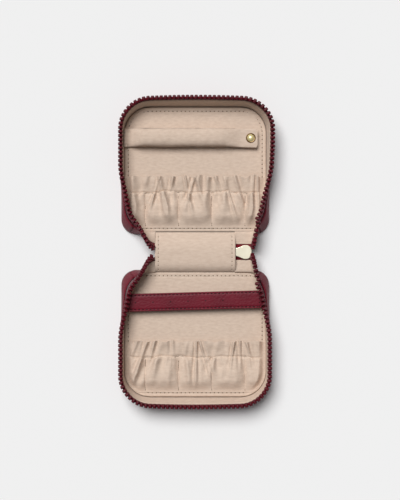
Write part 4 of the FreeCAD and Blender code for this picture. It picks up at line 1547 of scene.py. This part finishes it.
@dataclass
class Spine:
    """Lining strip between the trays, with hems, two rows of stitches and the leather folds beside it."""

    finishes: Finishes
    half_length: float = 27.5
    half_span: float = 13.6
    rise: float = 3.8
    base_fall: float = 5.0
    lid_fall: float = 1.7
    hem: float = 0.8
    hem_height: float = 0.3
    stitch_inset: float = 2.3
    stitch: Triple = (1.9, 0.6, 0.45)
    # Size of the dark dots of painted shade in the needle holes.
    needle_hole: Triple = (0.9, 0.8, 0.3)
    channel_depth: float = 0.25
    channel_width: float = 0.55
    unevenness: float = 0.18
    unevenness_rate: float = 0.09
    unevenness_line: float = 3.0
    fold_out: float = 0.35
    fold_lean: float = 0.55
    fold_sink: float = 0.35
    fold_low: float = 0.25
    fold_drop: float = 1.9
    fold_thickness: float = 0.4
    fold_left: float = -36.5
    fold_right: float = 39.5
    strip_steps: tuple[int, int] = (110, 56)
    fold_steps: tuple[int, int] = (40, 16)

    def level(self, y: float) -> float:
        """Top of the strip, which is fuller towards the base tray.

        Args:
            y: Across the spine, mm.

        Returns:
            The height over the table, mm.
        """
        share = y / self.half_span
        power = self.base_fall if share < 0 else self.lid_fall
        return CASE.panel_top + (1 - abs(share) ** power) * self.rise

    def point(self, across: float, along: float) -> Vector:
        """Top of the strip.

        Args:
            across: Share of the strip's length along X.
            along: Share of its width along Y.

        Returns:
            The point in metres.
        """
        x = (2 * across - 1) * self.half_length
        y = (2 * along - 1) * self.half_span
        inset = self.half_length - abs(x)
        hem = self.hem_height * smoothstep(min(1.0, inset / self.hem))
        channel = self.channel_depth * math.exp(-((inset - self.stitch_inset) / self.channel_width) ** 2)
        lump = self.unevenness * noise.noise(Vector((x, y, self.unevenness_line)) * self.unevenness_rate)
        return Vector((x, y, self.level(y) + hem - channel + lump)) * MM

    def build(self) -> None:
        """The strip, its stitches and the leather folds under its edges."""
        mesh = grid_mesh(*self.strip_steps, self.point)
        bmesh.ops.recalc_face_normals(mesh, faces=mesh.faces)
        area = sum(face.calc_area() for face in mesh.faces)
        obj = finish_mesh("spine_lining_strip", mesh, self.finishes.lining, "lining")
        Piece.ride(obj, "spine", "spine_lining")
        self.build_stitches()
        for half in Half:
            self.build_fold(half)

    def build_stitches(self) -> None:
        """A row of stitches, and of painted shade dots in the needle holes, along each end of the strip."""
        margin, steps = 0.03, 30
        spots, holes = [], []
        for sign in (-1, 1):
            share = (sign * (self.half_length - self.stitch_inset) / self.half_length + 1) / 2
            line = [self.point(share, margin + (1 - 2 * margin) * k / steps) for k in range(steps + 1)]
            spots += even_spots(line, CASE.stitch_pitch, UP)
            holes += even_spots(line, CASE.stitch_pitch, UP, 0.5)
        thread = beads(spots, self.stitch)
        Piece.ride(finish_mesh("spine_stitches", thread, self.finishes.thread, "lining"), "spine")
        # Dark dots of painted shade in the needle holes between the stitches.
        dots = beads(holes, self.needle_hole)
        Piece.ride(finish_mesh("spine_needle_holes", dots, self.finishes.needle_hole, "lining"), "spine")

    def build_fold(self, half: Half) -> None:
        """Leather that runs on from a tray's cover into the spine, baked in place.

        Args:
            half: Tray that the leather belongs to.
        """
        low, high = self.fold_low, CASE.panel_top - self.fold_drop

        def point(across: float, up: float) -> Vector:
            """Point of the leather.

            Args:
                across: Share of its length along the spine.
                up: Share of its height.

            Returns:
                The point in metres.
            """
            d = self.fold_out - self.fold_lean * up - self.fold_sink * math.sin(math.pi * up)
            x = self.fold_left + (self.fold_right - self.fold_left) * across
            return tray_point(half, x, d, low + (high - low) * up)

        mesh = grid_mesh(*self.fold_steps, point)
        bmesh.ops.recalc_face_normals(mesh, faces=mesh.faces)
        bmesh.ops.solidify(mesh, geom=mesh.faces[:], thickness=self.fold_thickness * MM)
        bmesh.ops.recalc_face_normals(mesh, faces=mesh.faces)
        obj = finish_mesh(f"{half.key}_fold_leather", mesh, self.finishes.leather, "leather")
        half.body
        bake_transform(obj)
        log.info("%s bends between %s and spine", obj.name, half.body)


@dataclass
class RingRoll:
    """Padded ring roll of the lid with its flat tab and brass snap."""

    finishes: Finishes
    centre: float = 78.3
    half_width: float = 6.2
    height: float = 8.5
    left: float = -47.4
    right: float = 42.6
    gap: float = 0.15
    end_height: float = 2.6
    swell_length: float = 13.0
    tab_start: float = 33.0
    tab_taper: float = 16.0
    tab_narrowing: float = 13.0
    tab_low: float = 2.25
    tab_high: float = 4.0
    tab_widening: float = 0.2
    roll_side: float = 0.8
    tab_side: float = 0.35
    roll_lift: float = 0.9
    tab_lift: float = 0.5
    coarse_crease: float = 0.3
    coarse_rates: tuple[float, float] = (0.1, 4.0)
    coarse_line: float = 1.7
    fine_crease: float = 0.16
    fine_rates: tuple[float, float] = (0.32, 7.0)
    fine_line: float = 8.1
    tab_calm_side: float = 0.7
    tab_calm_top: float = 0.6
    end_share: float = 0.75
    end_length: float = 0.6
    slant: float = 0.6
    slant_start: float = 10.0
    slant_length: float = 40.0
    fill: float = 0.6
    steps: tuple[int, int] = (150, 44)
    cap_steps: int = 40
    cap_profile: tuple[tuple[float, float], ...] = (
        (3.3, 8.4), (3.35, 8.8), (3.1, 9.15), (2.75, 9.15), (2.4, 8.8), (2.1, 9.1),
        (1.5, 9.55), (0.8, 9.83), (0.0, 9.9),
    )

    def section(self, x: float) -> tuple[float, float]:
        """Bottom and top of the roll.

        Args:
            x: Along the roll, mm.

        Returns:
            Both heights over the table, mm.
        """
        floor = CASE.panel_top + self.gap
        swell = smoothstep((x - self.left) / self.swell_length)
        flat = smoothstep((x - self.tab_start + self.tab_taper) / self.tab_taper)
        low = floor + self.tab_low * flat
        top = floor + self.end_height + (self.height - self.end_height) * swell
        return low, top + (floor + self.tab_high - top) * flat

    def point(self, along: float, turn: float) -> Vector:
        """Skin of the roll.

        Args:
            along: Share of its length.
            turn: Share of the way round it.

        Returns:
            The point in metres.
        """
        x = self.left + (self.right - self.left) * along
        low, top = self.section(x)
        angle = 2 * math.pi * turn
        flat = smoothstep((x - self.tab_start + self.tab_narrowing) / self.tab_narrowing)
        side = signed_power(math.cos(angle), self.roll_side + (self.tab_side - self.roll_side) * flat)
        lift = signed_power(math.sin(angle), self.roll_lift + (self.tab_lift - self.roll_lift) * flat)
        crease = self.coarse_crease * patches(x, turn, self.coarse_rates, self.coarse_line)
        crease += self.fine_crease * patches(x, turn, self.fine_rates, self.fine_line)
        end = min(1.0, (self.right - x) / self.end_length + self.end_share)
        width = (self.half_width + self.tab_widening * flat) * end
        drift = self.slant * smoothstep((x - self.slant_start) / self.slant_length)
        y = self.centre + side * (width + crease * (1 - self.tab_calm_side * flat)) - drift
        bump = crease * (1 - self.tab_calm_top * flat) * max(0.0, lift)
        z = (low + top) / 2 + lift * (top - low) / 2 + bump
        return Vector((x, y, z)) * MM

    def build(self) -> None:
        """Roll and snap cap."""
        mesh = grid_mesh(*self.steps, self.point)
        close_tube(mesh)
        obj = finish_mesh("ring_roll_padded", mesh, self.finishes.lining, "lining")
        Piece.ride(obj, "ring_roll", "ring_roll_cover", "ring_roll_core")
        self.build_cap()

    def build_cap(self) -> None:
        """Domed brass cap with a turned rim."""
        mesh = bmesh.new()
        centre = Vector((CASE.snap_x, CASE.snap_y, 0)) * MM
        verts = [mesh.verts.new(centre + Vector((radius, 0, z)) * MM) for radius, z in self.cap_profile]
        edges = [mesh.edges.new(pair) for pair in zip(verts, verts[1:])]
        bmesh.ops.spin(
            mesh, geom=verts + edges, cent=centre, axis=UP, dvec=(0, 0, 0), angle=2 * math.pi,
            steps=self.cap_steps, use_merge=True, use_duplicate=False,
        )
        bmesh.ops.remove_doubles(mesh, verts=mesh.verts, dist=TOUCHING)
        bmesh.ops.recalc_face_normals(mesh, faces=mesh.faces)
        cap = finish_mesh("ring_roll_snap_dome", mesh, self.finishes.snap_brass, "gilt")
        Piece.ride(cap, "ring_roll", "ring_snap_cap")


@dataclass
class EarringStrap:
    """Leather strap of the base, with turned edges, stitching and punched holes."""

    finishes: Finishes
    centre: float = -33.3
    half_width: float = 6.05
    left: float = -46.6
    right: float = 45.6
    low: float = 9.3
    thickness: float = 1.5
    first_hole: float = 6.0
    hole_pitch: float = 11.9
    hole: Triple = (1.1, 1.1, 0.3)
    hole_count: int = 6
    tip_radius: float = 1.6
    edge_side: float = 0.3
    edge_lift: float = 0.4
    stitch_inset: float = 1.25
    stitch_pitch: float = 2.6
    stitch: Triple = (1.75, 0.62, 0.42)
    stitch_start: float = 0.6
    stitch_stop: float = 2.0
    cross_row: float = 1.9
    channel_depth: float = 0.22
    channel_width: float = 0.45
    droop: float = 0.35
    droop_length: float = 92.0
    slant: float = 1.25
    slant_length: float = 45.0
    thread_sink: float = 0.08
    bend_length: float = 10.5
    steps: tuple[int, int] = (150, 48)

    def point(self, along: float, turn: float) -> Vector:
        """Skin of the strap.

        Args:
            along: Share of its length.
            turn: Share of the way round its section.

        Returns:
            The point in metres.
        """
        x = self.left + (self.right - self.left) * along
        angle = 2 * math.pi * turn
        side = signed_power(math.cos(angle), self.edge_side)
        lift = signed_power(math.sin(angle), self.edge_lift)
        gap = max(0.0, self.tip_radius - (self.right - x))
        width = self.half_width - self.tip_radius + math.sqrt(max(0.0, self.tip_radius**2 - gap * gap))
        y = side * width
        inset = self.half_width - abs(y) - self.stitch_inset
        channel = self.channel_depth * math.exp(-((inset / self.channel_width) ** 2)) * (lift > 0)
        z = self.low + self.thickness / 2 * (1 + lift) - channel + self.sag(x)
        return Vector((x, self.centre + self.drift(x) + y, z)) * MM

    def sag(self, x: float) -> float:
        """Slight droop of the strap between its ends."""
        return self.droop * (1 - math.cos(math.pi * x / self.droop_length))

    def drift(self, x: float) -> float:
        """Slight slant of the strap across the tray."""
        return self.slant * x / self.slant_length

    def top(self, x: float, y: float) -> Vector:
        """Point on top of the strap."""
        z = self.low + self.thickness + self.sag(x) - self.thread_sink
        return Vector((x, self.centre + self.drift(x) + y, z)) * MM

    def build(self) -> None:
        """Strap, stitches, and dark dots of painted shade in its punched holes."""
        mesh = grid_mesh(*self.steps, self.point)
        close_tube(mesh)
        obj = finish_mesh("earring_strap_leather", mesh, self.finishes.leather, "leather")
        self.hinge(obj)
        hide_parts("earring_strap", "strap_backing")
        self.build_stitches()
        middles = [self.left + self.first_hole + self.hole_pitch * k for k in range(self.hole_count)]
        # Painted shade: dark beads stand in for the shade seen through the punched holes.
        holes = beads([(self.top(x, 0.0), Vector((1, 0, 0)), UP) for x in middles], self.hole, level=2)
        self.hinge(finish_mesh("earring_strap_holes", holes, self.finishes.seam, "leather"))

    def build_stitches(self) -> None:
        """Stitches along both edges and across the free end."""
        edge = self.half_width - self.stitch_inset
        start = self.left + self.stitch_start
        length = self.right - self.stitch_stop - start
        steps, cross_steps = 60, 12
        rows = []
        for sign in (-1, 1):
            rows.append([self.top(start + length * k / steps, sign * edge) for k in range(steps + 1)])
        across = [-edge + 2 * edge * k / cross_steps for k in range(cross_steps + 1)]
        rows.append([self.top(self.right - self.cross_row, y) for y in across])
        thread = beads([spot for row in rows for spot in even_spots(row, self.stitch_pitch, UP)], self.stitch)
        self.hinge(finish_mesh("earring_strap_stitches", thread, self.finishes.seam, "leather"))

    def hinge(self, obj: bpy.types.Object) -> None:
        """Bake a piece of the strap in place and log it.

        Args:
            obj: The piece.
        """
        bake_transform(obj)
        log.info("%s bends at its sewn end", obj.name)


@dataclass
class ZipSlider:
    """Gilt zip slider: two rounded plates on a neck, seen from its smooth back."""

    finishes: Finishes
    start: float = 27.8
    length: float = 10.8
    nose: float = 4.75
    tail: float = 2.75
    plate: float = 1.0
    slot: float = 2.8
    middle: float = 5.2
    body_share: float = 0.62
    swell_share: float = 0.6
    nose_reach_curve: float = 0.9
    nose_width_curve: float = 0.75
    sharp_angle: float = 0.9
    flat_normal: float = 0.99
    edge_round: float = 0.26
    neck: float = 3.2
    neck_inset: float = 1.6
    neck_overlap: float = 0.4

    def outline(self) -> list[tuple[float, float]]:
        """Bulb-shaped outline, from the tail round the nose.

        Returns:
            Its points, mm.
        """
        body_steps, nose_steps = 7, 9
        upper = []
        for k in range(body_steps + 1):
            share = self.body_share * k / body_steps
            half = self.tail + (self.nose - self.tail) * smoothstep(share / self.swell_share)
            upper.append((self.start + self.length * share, half))
        reach = (1 - self.body_share) * self.length
        for k in range(1, nose_steps):
            turn = QUARTER_TURN * k / nose_steps
            x = self.start + self.length - reach + reach * math.sin(turn) ** self.nose_reach_curve
            upper.append((x, self.nose * math.cos(turn) ** self.nose_width_curve))
        return [(x, -y) for x, y in upper] + [(x, y) for x, y in reversed(upper)]

    def build(self) -> None:
        """Both plates and the neck in one piece."""
        mesh = bmesh.new()
        gap = self.slot / 2
        for low in (self.middle + gap, self.middle - gap - self.plate):
            outline = self.outline()
            ring = bmesh.ops.create_circle(mesh, cap_ends=True, segments=len(outline), radius=1.0)["verts"]
            for vert, (x, y) in zip(ring, outline):
                vert.co = Vector((x, y, low)) * MM
            made = bmesh.ops.extrude_face_region(mesh, geom=list(ring[0].link_faces))
            top = [item for item in made["geom"] if isinstance(item, bmesh.types.BMVert)]
            bmesh.ops.translate(mesh, verts=top, vec=(0, 0, self.plate * MM))
        bmesh.ops.recalc_face_normals(mesh, faces=mesh.faces)
        sharp = [edge for edge in mesh.edges if edge.calc_face_angle(0.0) > self.sharp_angle]
        bmesh.ops.bevel(
            mesh, geom=sharp, offset=self.edge_round * MM, offset_type="OFFSET", affect="EDGES",
            segments=3, profile=0.5, material=-1,
        )
        neck_x = self.start + self.length - self.nose + self.neck_inset
        neck = Matrix.Translation(Vector((neck_x, 0, self.middle)) * MM)
        shape = Matrix.Diagonal(Vector((self.neck, self.neck, self.slot + self.neck_overlap)) * MM).to_4x4()
        bmesh.ops.create_cube(mesh, size=1.0, matrix=neck @ shape)
        obj = finish_mesh("zip_slider_plates", mesh, self.finishes.gilt, "gilt")
        for polygon in obj.data.polygons:
            polygon.use_smooth = abs(polygon.normal.z) < self.flat_normal
        Piece.ride(obj, "slider", "slider_body")


@dataclass
class Stage:
    """Table, daylight and the overhead camera of the photograph."""

    camera_x: float = 3.3
    camera_y: float = 1.4
    camera_height: float = 650.0
    millimetres_per_pixel: float = 0.692
    photo_height: int = 500
    sensor: float = 36.0
    fill: float = 0.15
    key_strength: float = 3.1
    key_from: Triple = (-0.24, 0.45, 0.86)
    key_angle: float = 36.0
    table_half: float = 2.0
    table_colour: Colour = srgb(240, 240, 240)
    table_roughness: float = 0.9
    near_clip: float = 0.01

    def build(self) -> None:
        """Floor, light and camera."""
        self.build_table()
        self.build_light()
        self.build_camera()
        bpy.context.scene.view_settings.view_transform = "Standard"

    def build_table(self) -> None:
        """The pale table that takes the shadow."""
        mesh = bmesh.new()
        bmesh.ops.create_grid(mesh, x_segments=1, y_segments=1, size=self.table_half)
        kit = NodeKit("table")
        kit.feed(kit.shader, "Base Color", self.table_colour)
        kit.feed(kit.shader, "Roughness", self.table_roughness)
        kit.feed(kit.shader, "Specular IOR Level", 0.0)
        data = bpy.data.meshes.new("table")
        mesh.to_mesh(data)
        mesh.free()
        data.materials.append(kit.material)
        table = bpy.data.objects.new("table", data)
        bpy.context.scene.collection.objects.link(table)

    def build_light(self) -> None:
        """Soft daylight from the upper left and a weak fill."""
        sun = bpy.data.lights.new("daylight", "SUN")
        sun.energy = self.key_strength
        sun.angle = math.radians(self.key_angle)
        lamp = bpy.data.objects.new("daylight", sun)
        lamp.rotation_euler = Vector(self.key_from).to_track_quat("Z", "Y").to_euler()
        bpy.context.scene.collection.objects.link(lamp)
        world = bpy.data.worlds.new("room")
        world.use_nodes = True
        background = world.node_tree.nodes["Background"]
        background.inputs["Color"].default_value = (1, 1, 1, 1)
        background.inputs["Strength"].default_value = self.fill
        bpy.context.scene.world = world

    def build_camera(self) -> None:
        """Camera straight above, at the photograph's scale."""
        lens = bpy.data.cameras.new("overhead")
        lens.sensor_width = self.sensor
        lens.sensor_fit = "AUTO"
        lens.lens = self.sensor * self.camera_height / (self.millimetres_per_pixel * self.photo_height)
        lens.clip_start = self.near_clip
        camera = bpy.data.objects.new("overhead", lens)
        camera.location = Vector((self.camera_x, self.camera_y, self.camera_height)) * MM
        bpy.context.scene.collection.objects.link(camera)
        bpy.context.scene.camera = camera


def dress_frame(finishes: Finishes) -> None:
    """Give every CAD node the finish of its slot.

    Args:
        finishes: Finishes of the case.
    """
    slots = {part["node"]: part["material_slot"] for part in frame["record"]["subparts"]}
    by_slot = finishes.by_slot()
    for name, obj in frame["nodes"].items():
        obj.data.materials.clear()
        obj.data.materials.append(by_slot[slots[name]])


def main() -> None:
    """Build and dress the case."""
    logging.basicConfig(level=logging.INFO, format="%(message)s")
    finishes = Finishes()
    dress_frame(finishes)
    for seed, half in enumerate(Half, start=4):
        TrayWall(half, finishes).build()
        TrayFloor(half, finishes, seed).build()
    Spine(finishes).build()
    RingRoll(finishes).build()
    EarringStrap(finishes).build()
    ZipSlider(finishes).build()
    Stage().build()


if __name__ == "__main__":
    main()
